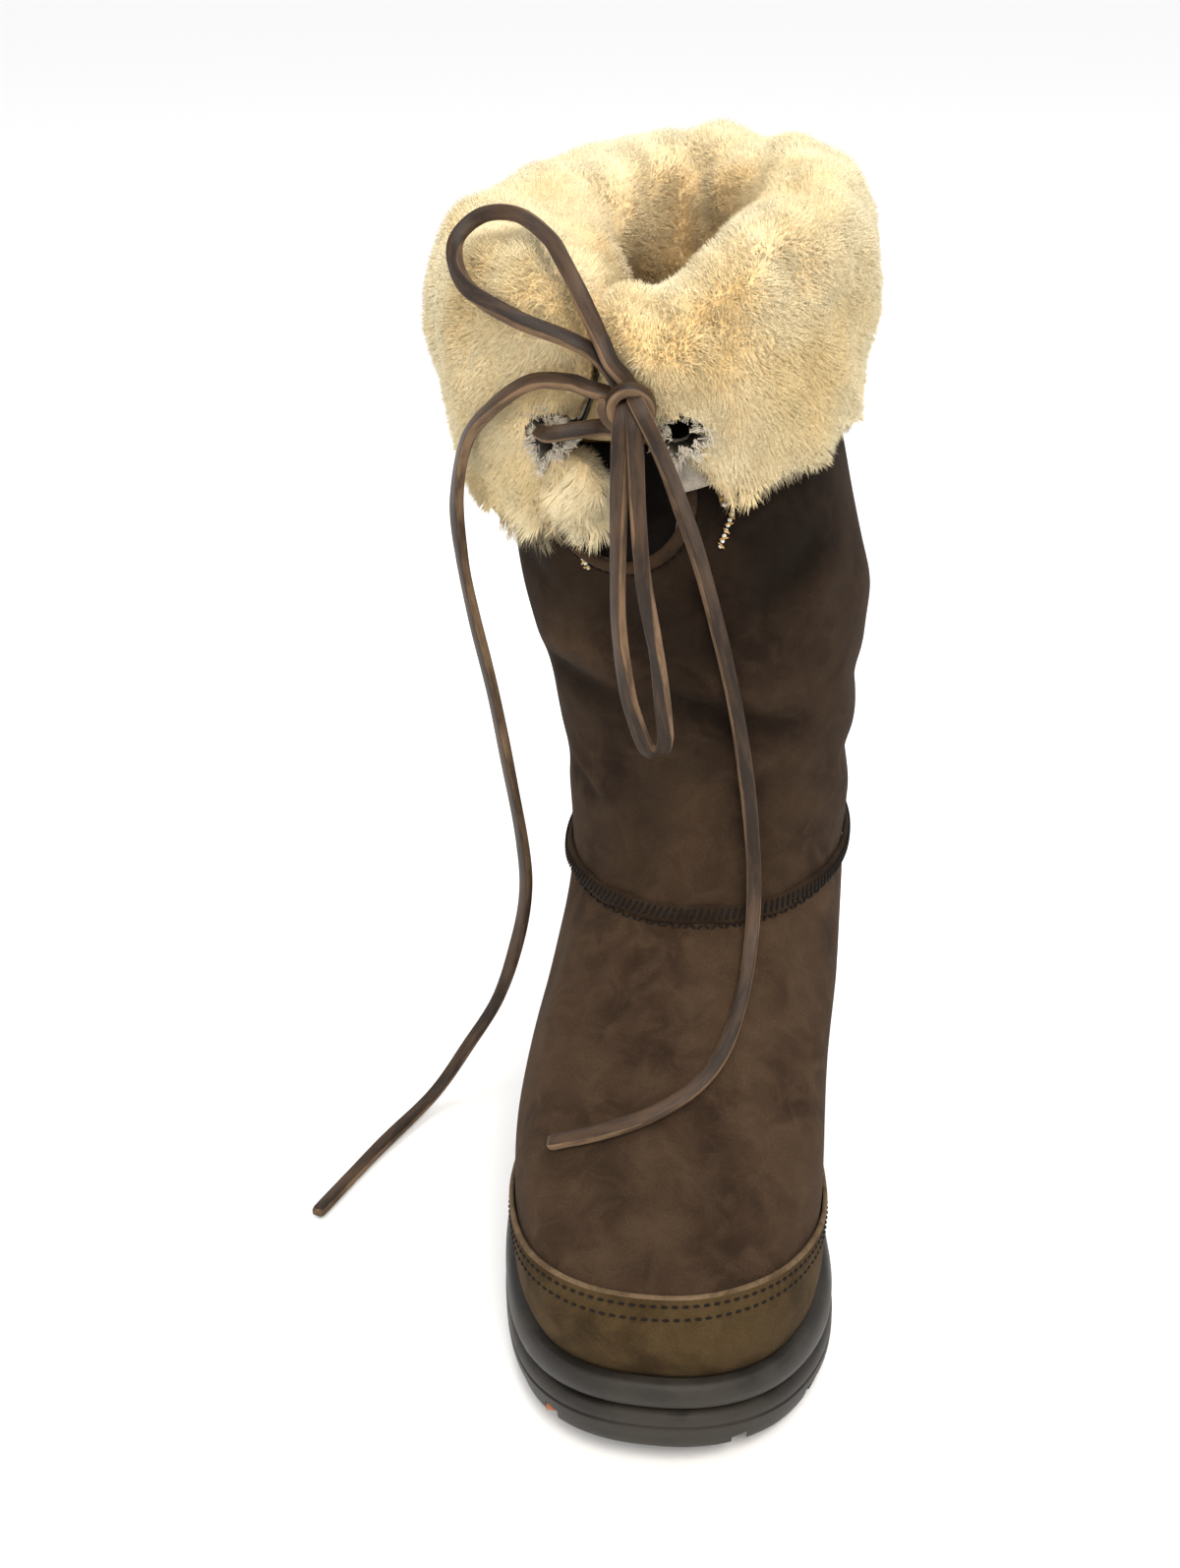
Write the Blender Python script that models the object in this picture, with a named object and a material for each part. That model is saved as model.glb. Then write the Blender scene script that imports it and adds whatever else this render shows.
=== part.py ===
"""Tall sheepskin boot for a right foot, with a fold-down fur cuff and a leather thong.

Metres, +Z up, standing on the floor at Z 0 with the toe towards -Y and the inner (big toe) side towards +X.
Places on the boot are worked out on the last: "turn" is the angle round it in degrees, 0 at the toe, 90 on
the inner side, 180 at the heel and 270 on the outer side; "along" is the share of the sole's length from
the heel; heights are above the floor.
"""

import math

import bmesh
import bpy
from mathutils import Vector

# Driving sizes of the sole.
SOLE_LENGTH = 0.280
BALL_WIDTH = 0.118
BALL_STACK = 0.027
HEEL_STACK = 0.038
OUTSOLE_AT_BALL = 0.0165
OUTSOLE_AT_HEEL = 0.021
TOE_SPRING = 0.009
ARCH_RISE = 0.006
INNER_WAIST = 0.28
OUTER_WAIST = 0.15
TOE_SWING = 0.006
BALL_SKEW = 0.010

# Driving sizes of the upper.
INSTEP_HEIGHT = 0.132
COLLAR_HEIGHT = 0.346
SHAFT_DEPTH = 0.130
SHAFT_WIDTH = 0.108
SHAFT_AXIS = 0.080
WALL = 0.0026
GAP = 0.0003

# Slouch of the shaft: how far the collar leans to the outer side, turns and tips, and where its throat is.
COLLAR_LEAN = -0.020
COLLAR_TWIST = 6.0
COLLAR_TIP = 0.008
COLLAR_TIP_TURN = 150.0
THROAT_TURN = 3.0

# Fold-down cuff.
FOLD_GAP = 0.0052
CUFF_DROP = 0.048
CUFF_SAG = 0.020
CUFF_SAG_TURN = 300.0
HEM_GAP = 0.0024
PILE = 0.0125
INNER_PILE = 0.015

# Overlays.
OVERLAY = 0.0016
OVERLAY_GAP = 0.0006
SOLE_CLEARANCE = 0.0008
CAP_HEIGHT = 0.026
CAP_END = 0.42
CAP_REACH = 130.0
COUNTER_REACH = 56.0
BRAID_BELOW = 0.60
BRAID_CLEARANCE = 0.002
COUNTER_HEIGHT = 0.062
STAY_WIDTH = 0.018
SEAM_WIDTH = 0.008
SEAM_PROUD = 0.0024
BRAID_WIDTH = 0.016
BRAID_THICK = 0.0012
BINDING_WIDTH = 0.0045
BINDING_PROUD = 0.0018
INSOLE_THICK = 0.006

# Throat notch and the lace.
THROAT_WIDTH = 0.042
THROAT_DEPTH = 0.086
HOLE_RADIUS = 0.0048
HOLE_DROP = 0.038
HOLE_SPREAD = 0.0155
LACE_DIAMETER = 0.0048
LACE_SPACING = 0.0125
KNOT_DROP = 0.024
KNOT_OUT = 0.029
KNOT_ACROSS = 0.0095
KNOT_RADIUS = 0.0060
KNOT_PITCH = 0.0054
KNOT_TURNS = 1.6

# Tread.
LUG_DEPTH = 0.0045
GROOVE_WIDTH = 0.0048
POD_CLEARANCE = 0.0004

COLUMNS = 40
SOLE_COLUMNS = 48
HEEL_Y = SOLE_LENGTH / 2

# Rows of the sole from heel to toe: how much of the heel's extra height, of the toe spring and of the arch
# each place has.
SOLE_LINE = (
    {"along": 0.00, "heel": 1.00, "spring": 0.00, "arch": 0.30},
    {"along": 0.05, "heel": 1.00, "spring": 0.00, "arch": 0.00},
    {"along": 0.27, "heel": 0.95, "spring": 0.00, "arch": 0.00},
    {"along": 0.36, "heel": 0.76, "spring": 0.00, "arch": 0.85},
    {"along": 0.45, "heel": 0.50, "spring": 0.00, "arch": 1.00},
    {"along": 0.54, "heel": 0.25, "spring": 0.00, "arch": 0.35},
    {"along": 0.60, "heel": 0.10, "spring": 0.00, "arch": 0.00},
    {"along": 0.78, "heel": 0.00, "spring": 0.00, "arch": 0.00},
    {"along": 0.90, "heel": 0.00, "spring": 0.33, "arch": 0.00},
    {"along": 1.00, "heel": 0.00, "spring": 1.00, "arch": 0.00},
)

# Sections of the foot, from the sole's edge (height 0) to the instep seam (height 1). Back, front and wide are
# shares of the sole's length, half is a share of the ball width, and nose and heel are how square the ends are.
FOOT_SECTIONS = (
    {"height": 0.00, "back": 0.024, "front": 0.968, "wide": 0.655, "half": 0.442, "nose": 2.35, "heel": 2.50, "waist": 1.00},
    {"height": 0.10, "back": 0.016, "front": 0.975, "wide": 0.655, "half": 0.466, "nose": 2.35, "heel": 2.50, "waist": 0.70},
    {"height": 0.22, "back": 0.016, "front": 0.966, "wide": 0.648, "half": 0.470, "nose": 2.30, "heel": 2.40, "waist": 0.40},
    {"height": 0.33, "back": 0.020, "front": 0.932, "wide": 0.622, "half": 0.464, "nose": 2.25, "heel": 2.35, "waist": 0.20},
    {"height": 0.45, "back": 0.028, "front": 0.862, "wide": 0.570, "half": 0.454, "nose": 2.20, "heel": 2.30, "waist": 0.08},
    {"height": 0.60, "back": 0.040, "front": 0.760, "wide": 0.490, "half": 0.444, "nose": 2.10, "heel": 2.25, "waist": 0.00},
    {"height": 0.80, "back": 0.052, "front": 0.630, "wide": 0.385, "half": 0.430, "nose": 2.10, "heel": 2.20, "waist": 0.00},
    {"height": 1.00, "back": 0.060, "front": 0.540, "wide": 0.310, "half": 0.422, "nose": 2.10, "heel": 2.20, "waist": 0.00},
)

# Sections of the shaft, from the instep seam (height 0) to the collar (height 1). Back and front are shares of
# the shaft's depth from its axis, half is a share of its width.
SHAFT_SECTIONS = (
    {"height": 0.12, "back": 0.470, "front": 0.465, "half": 0.476},
    {"height": 0.30, "back": 0.480, "front": 0.450, "half": 0.520},
    {"height": 0.50, "back": 0.490, "front": 0.460, "half": 0.552},
    {"height": 0.64, "back": 0.490, "front": 0.465, "half": 0.540},
    {"height": 0.80, "back": 0.480, "front": 0.465, "half": 0.498},
    {"height": 1.00, "back": 0.460, "front": 0.460, "half": 0.455},
)


def smooth_value(rows, key, at):
    """Value of a table's column at a place between its rows, on a smooth curve that never overshoots."""
    places = [row[rows_key(rows)] for row in rows]
    values = [row[key] for row in rows]
    if at <= places[0]:
        return values[0]
    if at >= places[-1]:
        return values[-1]
    slopes = [(b - a) / (q - p) for a, b, p, q in zip(values, values[1:], places, places[1:])]
    k = max(i for i in range(len(slopes)) if places[i] <= at)
    step = places[k + 1] - places[k]
    t = (at - places[k]) / step
    start = joint_slope(slopes, k)
    end = joint_slope(slopes, k + 1)
    return (
        (2 * t**3 - 3 * t**2 + 1) * values[k]
        + (t**3 - 2 * t**2 + t) * step * start
        + (3 * t**2 - 2 * t**3) * values[k + 1]
        + (t**3 - t**2) * step * end
    )


def rows_key(rows):
    """The column that says where a row lies: the first one."""
    return next(iter(rows[0]))


def joint_slope(slopes, k):
    """Slope where two stretches of a column meet: zero at a turn, else their harmonic mean."""
    if k == 0 or k == len(slopes):
        return slopes[min(k, len(slopes) - 1)]
    before, after = slopes[k - 1], slopes[k]
    return 0.0 if before * after <= 0 else 2 * before * after / (before + after)


def ease(x):
    """0 below 0, 1 above 1, smooth between."""
    x = min(1.0, max(0.0, x))
    return x * x * (3 - 2 * x)


def power(x, square):
    """Cosine or sine bent towards a squarer oval."""
    return math.copysign(abs(x) ** (2 / square), x)


def bump(x, centre, spread):
    return math.exp(-(((x - centre) / spread) ** 2))


def sole_height(along, at_ball, at_heel):
    """Height of a layer of the sole: its height at the ball and heel, and the toe spring."""
    heel = smooth_value(SOLE_LINE, "heel", along)
    spring = smooth_value(SOLE_LINE, "spring", along)
    return at_ball + heel * (at_heel - at_ball) + spring * TOE_SPRING


def tread_height(along):
    """Height of the sole's underside: flat at the heel and ball, raised at the arch and the toe."""
    spring = smooth_value(SOLE_LINE, "spring", along)
    arch = smooth_value(SOLE_LINE, "arch", along)
    return spring * TOE_SPRING + arch * ARCH_RISE


def footbed_height(along):
    return sole_height(along, BALL_STACK, HEEL_STACK)


def outsole_top(along):
    return sole_height(along, OUTSOLE_AT_BALL, OUTSOLE_AT_HEEL)


def plan_point(turn, back, front, wide, half, nose, heel, waist):
    """(across, along) of a flat oval at a turn, with the waist of the foot and the inward swing of the toes."""
    c, s = math.cos(math.radians(turn)), math.sin(math.radians(turn))
    square = nose if c > 0 else heel
    reach = (front - wide) if c > 0 else (wide - back)
    along = (wide + reach * power(c, square)) / SOLE_LENGTH
    across = half * power(s, square)
    pinch = INNER_WAIST if s > 0 else OUTER_WAIST
    across *= 1 - waist * pinch * bump(along, 0.40, 0.15)
    lying = max(waist, 0.0) ** 0.5
    across_share = across / (BALL_WIDTH / 2)
    along += lying * BALL_SKEW / SOLE_LENGTH * across_share * bump(along, 0.66, 0.16)
    across += lying * TOE_SWING * (ease((along - 0.55) / 0.45) - 0.45 * bump(along, 0.55, 0.18))
    return across, along


def sole_point(turn, inset, height_of):
    """Point on a loop of the sole, moved in from its outline, at the height that height_of gives."""
    across, along = plan_point(
        turn,
        inset,
        SOLE_LENGTH - inset,
        0.655 * SOLE_LENGTH,
        BALL_WIDTH / 2 - inset,
        2.35,
        2.50,
        1.0,
    )
    return Vector((across, HEEL_Y - along * SOLE_LENGTH, height_of(along)))


def upper_sections():
    """Foot and shaft sections as one table in metres, by height above the floor."""
    foot_bottom = BALL_STACK + 0.6 * (HEEL_STACK - BALL_STACK)
    rows = []
    for row in FOOT_SECTIONS:
        rows.append(
            {
                "z": foot_bottom + row["height"] * (INSTEP_HEIGHT - foot_bottom),
                "back": row["back"] * SOLE_LENGTH,
                "front": row["front"] * SOLE_LENGTH,
                "wide": row["wide"] * SOLE_LENGTH,
                "half": row["half"] * BALL_WIDTH,
                "nose": row["nose"],
                "heel": row["heel"],
                "waist": row["waist"],
            }
        )
    for row in SHAFT_SECTIONS:
        rows.append(
            {
                "z": INSTEP_HEIGHT + row["height"] * (COLLAR_HEIGHT - INSTEP_HEIGHT),
                "back": SHAFT_AXIS - row["back"] * SHAFT_DEPTH,
                "front": SHAFT_AXIS + row["front"] * SHAFT_DEPTH,
                "wide": SHAFT_AXIS,
                "half": row["half"] * SHAFT_WIDTH,
                "nose": 2.1,
                "heel": 2.1,
                "waist": 0.0,
            }
        )
    return rows


SECTIONS = upper_sections()
FOOT_BOTTOM = SECTIONS[0]["z"]


def upper_point(turn, height):
    """Point on the outside of the suede at a turn and a section's height."""
    sizes = {key: smooth_value(SECTIONS, key, height) for key in SECTIONS[0] if key != "z"}
    across, along = plan_point(turn, **sizes)
    lying = 1 - ease((height - FOOT_BOTTOM) / (0.75 * (INSTEP_HEIGHT - FOOT_BOTTOM)))
    z = height + lying * (footbed_height(along) + GAP - FOOT_BOTTOM)
    risen = ease((height - INSTEP_HEIGHT) / (COLLAR_HEIGHT - INSTEP_HEIGHT)) ** 1.5
    z += risen * COLLAR_TIP * math.cos(math.radians(turn - COLLAR_TIP_TURN))
    ahead = along * SOLE_LENGTH - SHAFT_AXIS
    twist = math.radians(risen * COLLAR_TWIST)
    x = across * math.cos(twist) - ahead * math.sin(twist) + risen * COLLAR_LEAN
    ahead = across * math.sin(twist) + ahead * math.cos(twist)
    return Vector((x, HEEL_Y - SHAFT_AXIS - ahead, z))


def upper_normal(turn, height):
    """Outward direction of the suede."""
    step_turn, step_height = 1.0, 0.001
    low = max(height - step_height, FOOT_BOTTOM)
    around = upper_point(turn + step_turn, height) - upper_point(turn - step_turn, height)
    up = upper_point(turn, height + step_height) - upper_point(turn, low)
    return around.cross(up).normalized()


def on_upper(turn, height, out):
    """Point a distance out from the suede, or in from it if out is negative."""
    return upper_point(turn, height) + out * upper_normal(turn, height)


def hide_rows():
    """The wall's own rows: (height, points, directions) at each of its columns."""
    if not HIDE:
        for height in upper_heights():
            around = turns(COLUMNS)
            HIDE.append(
                (height, [upper_point(t, height) for t in around], [upper_normal(t, height) for t in around])
            )
    return HIDE


HIDE = []


def on_hide(turn, height, out):
    """Point a distance out from the wall's own facets, so that what lies on it keeps an even gap."""
    rows = hide_rows()
    r = max(i for i in range(len(rows) - 1) if i == 0 or rows[i][0] <= height)
    up = (height - rows[r][0]) / (rows[r + 1][0] - rows[r][0])
    place = (turn % 360.0) / 360.0 * COLUMNS
    c = int(place)
    over = place - c
    total = Vector((0, 0, 0))
    for row, share in ((rows[r], 1 - up), (rows[r + 1], up)):
        for column, part in ((c % COLUMNS, 1 - over), ((c + 1) % COLUMNS, over)):
            total += share * part * (row[1][column] + out * row[2][column])
    return total


def beside_collar(turn, rise, out):
    """Point beside the collar: rise is the height above the collar's edge, out the distance from the suede."""
    height = COLLAR_HEIGHT + min(rise, 0.0)
    flat = upper_normal(turn, height)
    flat.z = 0.0
    return upper_point(turn, height) + out * flat.normalized() + Vector((0, 0, max(rise, 0.0)))


def on_collar(turn, rise, out):
    """The same on the straight facet between the wall's own columns."""
    step = 360.0 / COLUMNS
    before = step * math.floor(turn / step)
    over = (turn - before) / step
    if over < 1e-6:
        return beside_collar(before, rise, out)
    return beside_collar(before, rise, out).lerp(beside_collar(before + step, rise, out), over)


def rubber_or_hide(name, colour, roughness):
    """Plain finish of one piece."""
    material = bpy.data.materials.new(name)
    material.use_nodes = True
    surface = material.node_tree.nodes["Principled BSDF"]
    surface.inputs["Base Color"].default_value = (*colour, 1)
    surface.inputs["Roughness"].default_value = roughness
    surface.inputs["Metallic"].default_value = 0.0
    return material


def clear_scene():
    for obj in list(bpy.data.objects):
        bpy.data.objects.remove(obj)


def add_piece(name, points, faces, material):
    mesh = bpy.data.meshes.new(name)
    mesh.from_pydata([tuple(p) for p in points], [], faces)
    mesh.update()
    piece = bpy.data.objects.new(name, mesh)
    bpy.context.scene.collection.objects.link(piece)
    if material:
        mesh.materials.append(material)
        mesh.shade_smooth()
        mesh.set_sharp_from_angle(angle=math.radians(40))
    return piece


def wall_piece(name, outer, inner, closed, material):
    """Solid between two grids of points, rows from bottom to top and columns round the boot."""
    rows, columns = len(outer), len(outer[0])
    points = [p for row in outer for p in row] + [p for row in inner for p in row]
    shift = rows * columns
    spans = columns if closed else columns - 1
    faces = []

    def at(r, c, side):
        return side * shift + r * columns + c % columns

    for c in range(spans):
        for r in range(rows - 1):
            faces.append((at(r, c, 0), at(r, c + 1, 0), at(r + 1, c + 1, 0), at(r + 1, c, 0)))
            faces.append((at(r, c, 1), at(r + 1, c, 1), at(r + 1, c + 1, 1), at(r, c + 1, 1)))
        top = rows - 1
        faces.append((at(0, c, 0), at(0, c, 1), at(0, c + 1, 1), at(0, c + 1, 0)))
        faces.append((at(top, c, 0), at(top, c + 1, 0), at(top, c + 1, 1), at(top, c, 1)))
    if not closed:
        last = columns - 1
        for r in range(rows - 1):
            faces.append((at(r, 0, 0), at(r + 1, 0, 0), at(r + 1, 0, 1), at(r, 0, 1)))
            faces.append((at(r, last, 0), at(r, last, 1), at(r + 1, last, 1), at(r + 1, last, 0)))
    return add_piece(name, points, faces, material)


def stacked_piece(name, loops, material):
    """Solid through closed loops from bottom to top. Its ends are closed from side to side, like a ladder."""
    columns = len(loops[0])
    half = columns // 2
    points = [p for loop in loops for p in loop]
    faces = []
    for r in range(len(loops) - 1):
        for c in range(columns):
            d = (c + 1) % columns
            low, high = r * columns, (r + 1) * columns
            faces.append((low + c, low + d, high + d, high + c))
    top = (len(loops) - 1) * columns
    for c in range(half):
        rung = [c, c + 1, columns - c - 1, (columns - c) % columns]
        rung = list(dict.fromkeys(rung))
        faces.append([top + i for i in rung])
        faces.append([i for i in reversed(rung)])
    return add_piece(name, points, faces, material)


def turns(count, start=0.0, end=360.0):
    return [start + (end - start) * c / count for c in range(count)]


def cut(piece, cutter):
    """Cuts one solid out of another. The cutter stays in the scene as a wire guide."""
    cutter.hide_render = True
    cutter.display_type = "WIRE"
    modifier = piece.modifiers.new("cut_" + cutter.name, "BOOLEAN")
    modifier.operation = "DIFFERENCE"
    modifier.object = cutter


def add_boxes(name, boxes):
    """One cutter of several boxes, each (centre, half sizes), clear of each other."""
    points, faces = [], []
    for centre, half in boxes:
        first = len(points)
        for x, y, z in (
            (-1, -1, -1), (1, -1, -1), (1, 1, -1), (-1, 1, -1), (-1, -1, 1), (1, -1, 1), (1, 1, 1), (-1, 1, 1),
        ):
            points.append(Vector(centre) + Vector((x * half[0], y * half[1], z * half[2])))
        for face in ((3, 2, 1, 0), (4, 5, 6, 7), (0, 1, 5, 4), (1, 2, 6, 5), (2, 3, 7, 6), (3, 0, 4, 7)):
            faces.append([first + i for i in face])
    return add_piece(name, points, faces, None)


# Outsole: loops as (inset, share of the wall's height from tread to top), with the lug line as a small step.
OUTSOLE_LOOPS = (
    {"inset": 0.0045, "share": 0.00},
    {"inset": 0.0018, "share": 0.08},
    {"inset": 0.0010, "share": 0.34},
    {"inset": 0.0002, "share": 0.38},
    {"inset": 0.0000, "share": 0.72},
    {"inset": 0.0006, "share": 0.92},
    {"inset": 0.0022, "share": 1.00},
)
MIDSOLE_LOOPS = (
    {"inset": 0.0026, "share": 0.00},
    {"inset": 0.0008, "share": 0.10},
    {"inset": 0.0006, "share": 0.55},
    {"inset": 0.0016, "share": 0.86},
    {"inset": 0.0034, "share": 1.00},
)
TREAD_GROOVES = (0.10, 0.18, 0.62, 0.70, 0.78, 0.86)
TOE_GROOVE_ACROSS = 0.031
TOE_GROOVE_START = 0.900


def build_outsole(material):
    def wall(share):
        return lambda along: tread_height(along) + share * (outsole_top(along) - tread_height(along))

    loops = [
        [sole_point(t, row["inset"], wall(row["share"])) for t in turns(SOLE_COLUMNS)] for row in OUTSOLE_LOOPS
    ]
    outsole = stacked_piece("outsole", loops, material)
    cross = []
    for along in TREAD_GROOVES:
        top = tread_height(along) + LUG_DEPTH
        cross.append(((0, HEEL_Y - along * SOLE_LENGTH, top - 0.02), (BALL_WIDTH, GROOVE_WIDTH / 2, 0.02)))
    cut(outsole, add_boxes("cross_grooves", cross))
    toe = []
    for side in (-1, 1):
        top = tread_height(0.96) + LUG_DEPTH
        middle = (TOE_GROOVE_START + 1.02) / 2
        reach = (1.02 - TOE_GROOVE_START) / 2 * SOLE_LENGTH
        across = side * TOE_GROOVE_ACROSS + 0.6 * TOE_SWING
        toe.append(((across, HEEL_Y - middle * SOLE_LENGTH, top - 0.02), (GROOVE_WIDTH / 2, reach, 0.02)))
    cut(outsole, add_boxes("toe_grooves", toe))
    return outsole


def build_pods(material):
    """Tan blocks that show in the grooves at the tread's edge."""
    pods = []
    places = [("toe", 0.930, side * TOE_GROOVE_ACROSS + 0.6 * TOE_SWING, "long") for side in (-1, 1)]
    for along in (TREAD_GROOVES[0], TREAD_GROOVES[2], TREAD_GROOVES[4]):
        for side in (-1, 1):
            reach = abs(edge_across(along, side)) - 0.010
            places.append((f"{round(along * 100)}", along, side * reach, "cross"))
    thick = 0.6 * LUG_DEPTH
    for label, along, across, lie in places:
        side = "inner" if across > 0 else "outer"
        width = GROOVE_WIDTH - 2 * POD_CLEARANCE
        top = tread_height(0.96 if lie == "long" else along) + LUG_DEPTH - GAP
        size = (width / 2, 0.005, thick / 2) if lie == "long" else (0.006, width / 2, thick / 2)
        pod = add_boxes(f"tread_pod_{label}_{side}", [((across, HEEL_Y - along * SOLE_LENGTH, top - thick / 2), size)])
        pod.data.materials.append(material)
        pods.append(pod)
    return pods


def edge_across(along, side):
    """Where the sole's outline lies across the foot at a place along it, on the inner (1) or outer (-1) side."""
    target = HEEL_Y - along * SOLE_LENGTH
    low, high = 0.0, 180.0
    for _ in range(40):
        middle = (low + high) / 2
        if sole_point(side * middle, 0.0, tread_height).y < target:
            low = middle
        else:
            high = middle
    return sole_point(side * low, 0.0, tread_height).x


def build_midsole(material):
    def wall(share):
        return lambda along: outsole_top(along) + GAP + share * (footbed_height(along) - outsole_top(along) - GAP)

    loops = [[sole_point(t, row["inset"], wall(row["share"])) for t in turns(SOLE_COLUMNS)] for row in MIDSOLE_LOOPS]
    return stacked_piece("midsole", loops, material)


def build_insole(material):
    """Sock that lies on the midsole inside the wall."""
    inset = WALL + 0.0012
    loops = []
    for lift in (SOLE_CLEARANCE, INSOLE_THICK * 0.6, INSOLE_THICK):
        loop = []
        for t in turns(COLUMNS):
            p = on_upper(t, FOOT_BOTTOM + lift, -inset - (0.0015 if lift == INSOLE_THICK else 0.0))
            p.z = footbed_height((HEEL_Y - p.y) / SOLE_LENGTH) + lift
            loop.append(p)
        loops.append(loop)
    return stacked_piece("insole", loops, material)


FOLD_ANGLES = (45.0, 90.0, 135.0, 180.0)
CUFF_SHARES = (0.32, 0.64, 1.0)
FOOT_LEVELS = (0.0, 0.07, 0.15, 0.24, 0.33, 0.42, 0.53, 0.66, 0.82, 1.0)
SHAFT_LEVELS = (0.14, 0.32, 0.50, 0.66, 0.79, 0.90, 1.0)


def upper_heights():
    foot = [FOOT_BOTTOM + share * (INSTEP_HEIGHT - FOOT_BOTTOM) for share in FOOT_LEVELS]
    shaft = [INSTEP_HEIGHT + share * (COLLAR_HEIGHT - INSTEP_HEIGHT) for share in SHAFT_LEVELS]
    return foot + shaft


def cuff_drop(turn):
    """How far the cuff hangs below the collar's edge at a turn."""
    return CUFF_DROP + CUFF_SAG * 0.5 * (1 + math.cos(math.radians(turn - CUFF_SAG_TURN)))


def fold_row(turn, radius, angle):
    """Point on the turned-over collar: angle 0 is the shaft's side, 180 the outside."""
    middle = FOLD_GAP / 2
    a = math.radians(angle)
    return on_collar(turn, radius * math.sin(a), middle - radius * math.cos(a))


def skin_gap(share):
    """Gap between the shaft and the cuff's skin, at a share of the cuff's drop: it closes towards the hem."""
    return FOLD_GAP + (HEM_GAP - FOLD_GAP) * share


def build_upper(material):
    """Vamp, shaft and the turned-over cuff skin as one hollow wall."""
    around = turns(COLUMNS)
    outer = [[on_upper(t, z, 0.0) for t in around] for z in upper_heights()]
    inner = [[on_upper(t, z, -WALL) for t in around] for z in upper_heights()]
    for i, p in enumerate(inner[0]):
        p.z = outer[0][i].z
    for angle in FOLD_ANGLES:
        outer.append([fold_row(t, FOLD_GAP / 2, angle) for t in around])
        inner.append([fold_row(t, FOLD_GAP / 2 + WALL, angle) for t in around])
    for share in CUFF_SHARES:
        out = skin_gap(share)
        outer.append([on_collar(t, -share * cuff_drop(t), out) for t in around])
        inner.append([on_collar(t, -share * cuff_drop(t), out + WALL) for t in around])
    upper = wall_piece("upper", outer, inner, True, material)
    cut(upper, throat_cutter("throat_cutter", 0.0))
    cut(upper, hole_cutter("hole_cutter"))
    return upper


# Throat outline from the top slit to the round bottom: share of the depth below the collar and of the width.
THROAT_OUTLINE = (
    {"drop": -0.30, "half": 0.05},
    {"drop": 0.10, "half": 0.05},
    {"drop": 0.35, "half": 0.18},
    {"drop": 0.60, "half": 0.40},
    {"drop": 0.76, "half": 0.50},
    {"drop": 0.90, "half": 0.42},
    {"drop": 0.97, "half": 0.24},
    {"drop": 1.00, "half": 0.00},
)


def throat_bearing():
    """Level direction out of the throat, and the direction to its inner side."""
    out = upper_normal(THROAT_TURN, COLLAR_HEIGHT)
    out.z = 0.0
    out.normalize()
    return out, Vector((-out.y, out.x, 0.0))


def throat_edge(grow):
    """Outline of the throat as (across, drop) from one side of the slit round the bottom to the other."""
    side = [(row["half"] * THROAT_WIDTH + grow, row["drop"] * THROAT_DEPTH) for row in THROAT_OUTLINE[:-1]]
    bottom = [(0.0, THROAT_DEPTH + grow)]
    return side + bottom + [(-across, drop) for across, drop in reversed(side)]


def throat_cutter(name, grow):
    """Drop-shaped prism through the front of the collar and cuff."""
    out, side = throat_bearing()
    middle = upper_point(THROAT_TURN, COLLAR_HEIGHT)
    edge = throat_edge(grow)
    points = []
    for reach in (-0.030, 0.045):
        for across, drop in edge:
            points.append(middle + reach * out + across * side - Vector((0, 0, drop)))
    count = len(edge)
    faces = [list(range(count)), list(reversed(range(count, 2 * count)))]
    for i in range(count):
        j = (i + 1) % count
        faces.append([i, i + count, j + count, j])
    cutter = add_piece(name, points, faces, None)
    outward(cutter)
    return cutter


def outward(piece):
    shape = bmesh.new()
    shape.from_mesh(piece.data)
    bmesh.ops.recalc_face_normals(shape, faces=shape.faces)
    shape.to_mesh(piece.data)
    shape.free()


def hole_places():
    """Middle of each lace hole on the outside of the cuff's skin, and the level way out of it."""
    places = []
    for side in (-1, 1):
        turn = THROAT_TURN + side * math.degrees(HOLE_SPREAD / (SHAFT_WIDTH / 2))
        way = on_collar(turn, -HOLE_DROP, 0.01) - on_collar(turn, -HOLE_DROP, 0.0)
        places.append((on_collar(turn, -HOLE_DROP, FOLD_GAP + WALL), way.normalized()))
    return places


def hole_cutter(name):
    """The two round lace holes, through fur and skin and no further than the gap behind the cuff."""
    points, faces = [], []
    sides = 12
    for middle, way in hole_places():
        first = len(points)
        flat = Vector((-way.y, way.x, 0.0))
        for reach in (-WALL - FOLD_GAP * 0.5, 0.05):
            for k in range(sides):
                a = 2 * math.pi * k / sides
                points.append(
                    middle + reach * way + HOLE_RADIUS * (math.cos(a) * flat + math.sin(a) * Vector((0, 0, 1)))
                )
        faces.append([first + k for k in range(sides)])
        faces.append([first + sides + k for k in reversed(range(sides))])
        for k in range(sides):
            n = (k + 1) % sides
            faces.append([first + k, first + sides + k, first + sides + n, first + n])
    cutter = add_piece(name, points, faces, None)
    outward(cutter)
    return cutter


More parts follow.
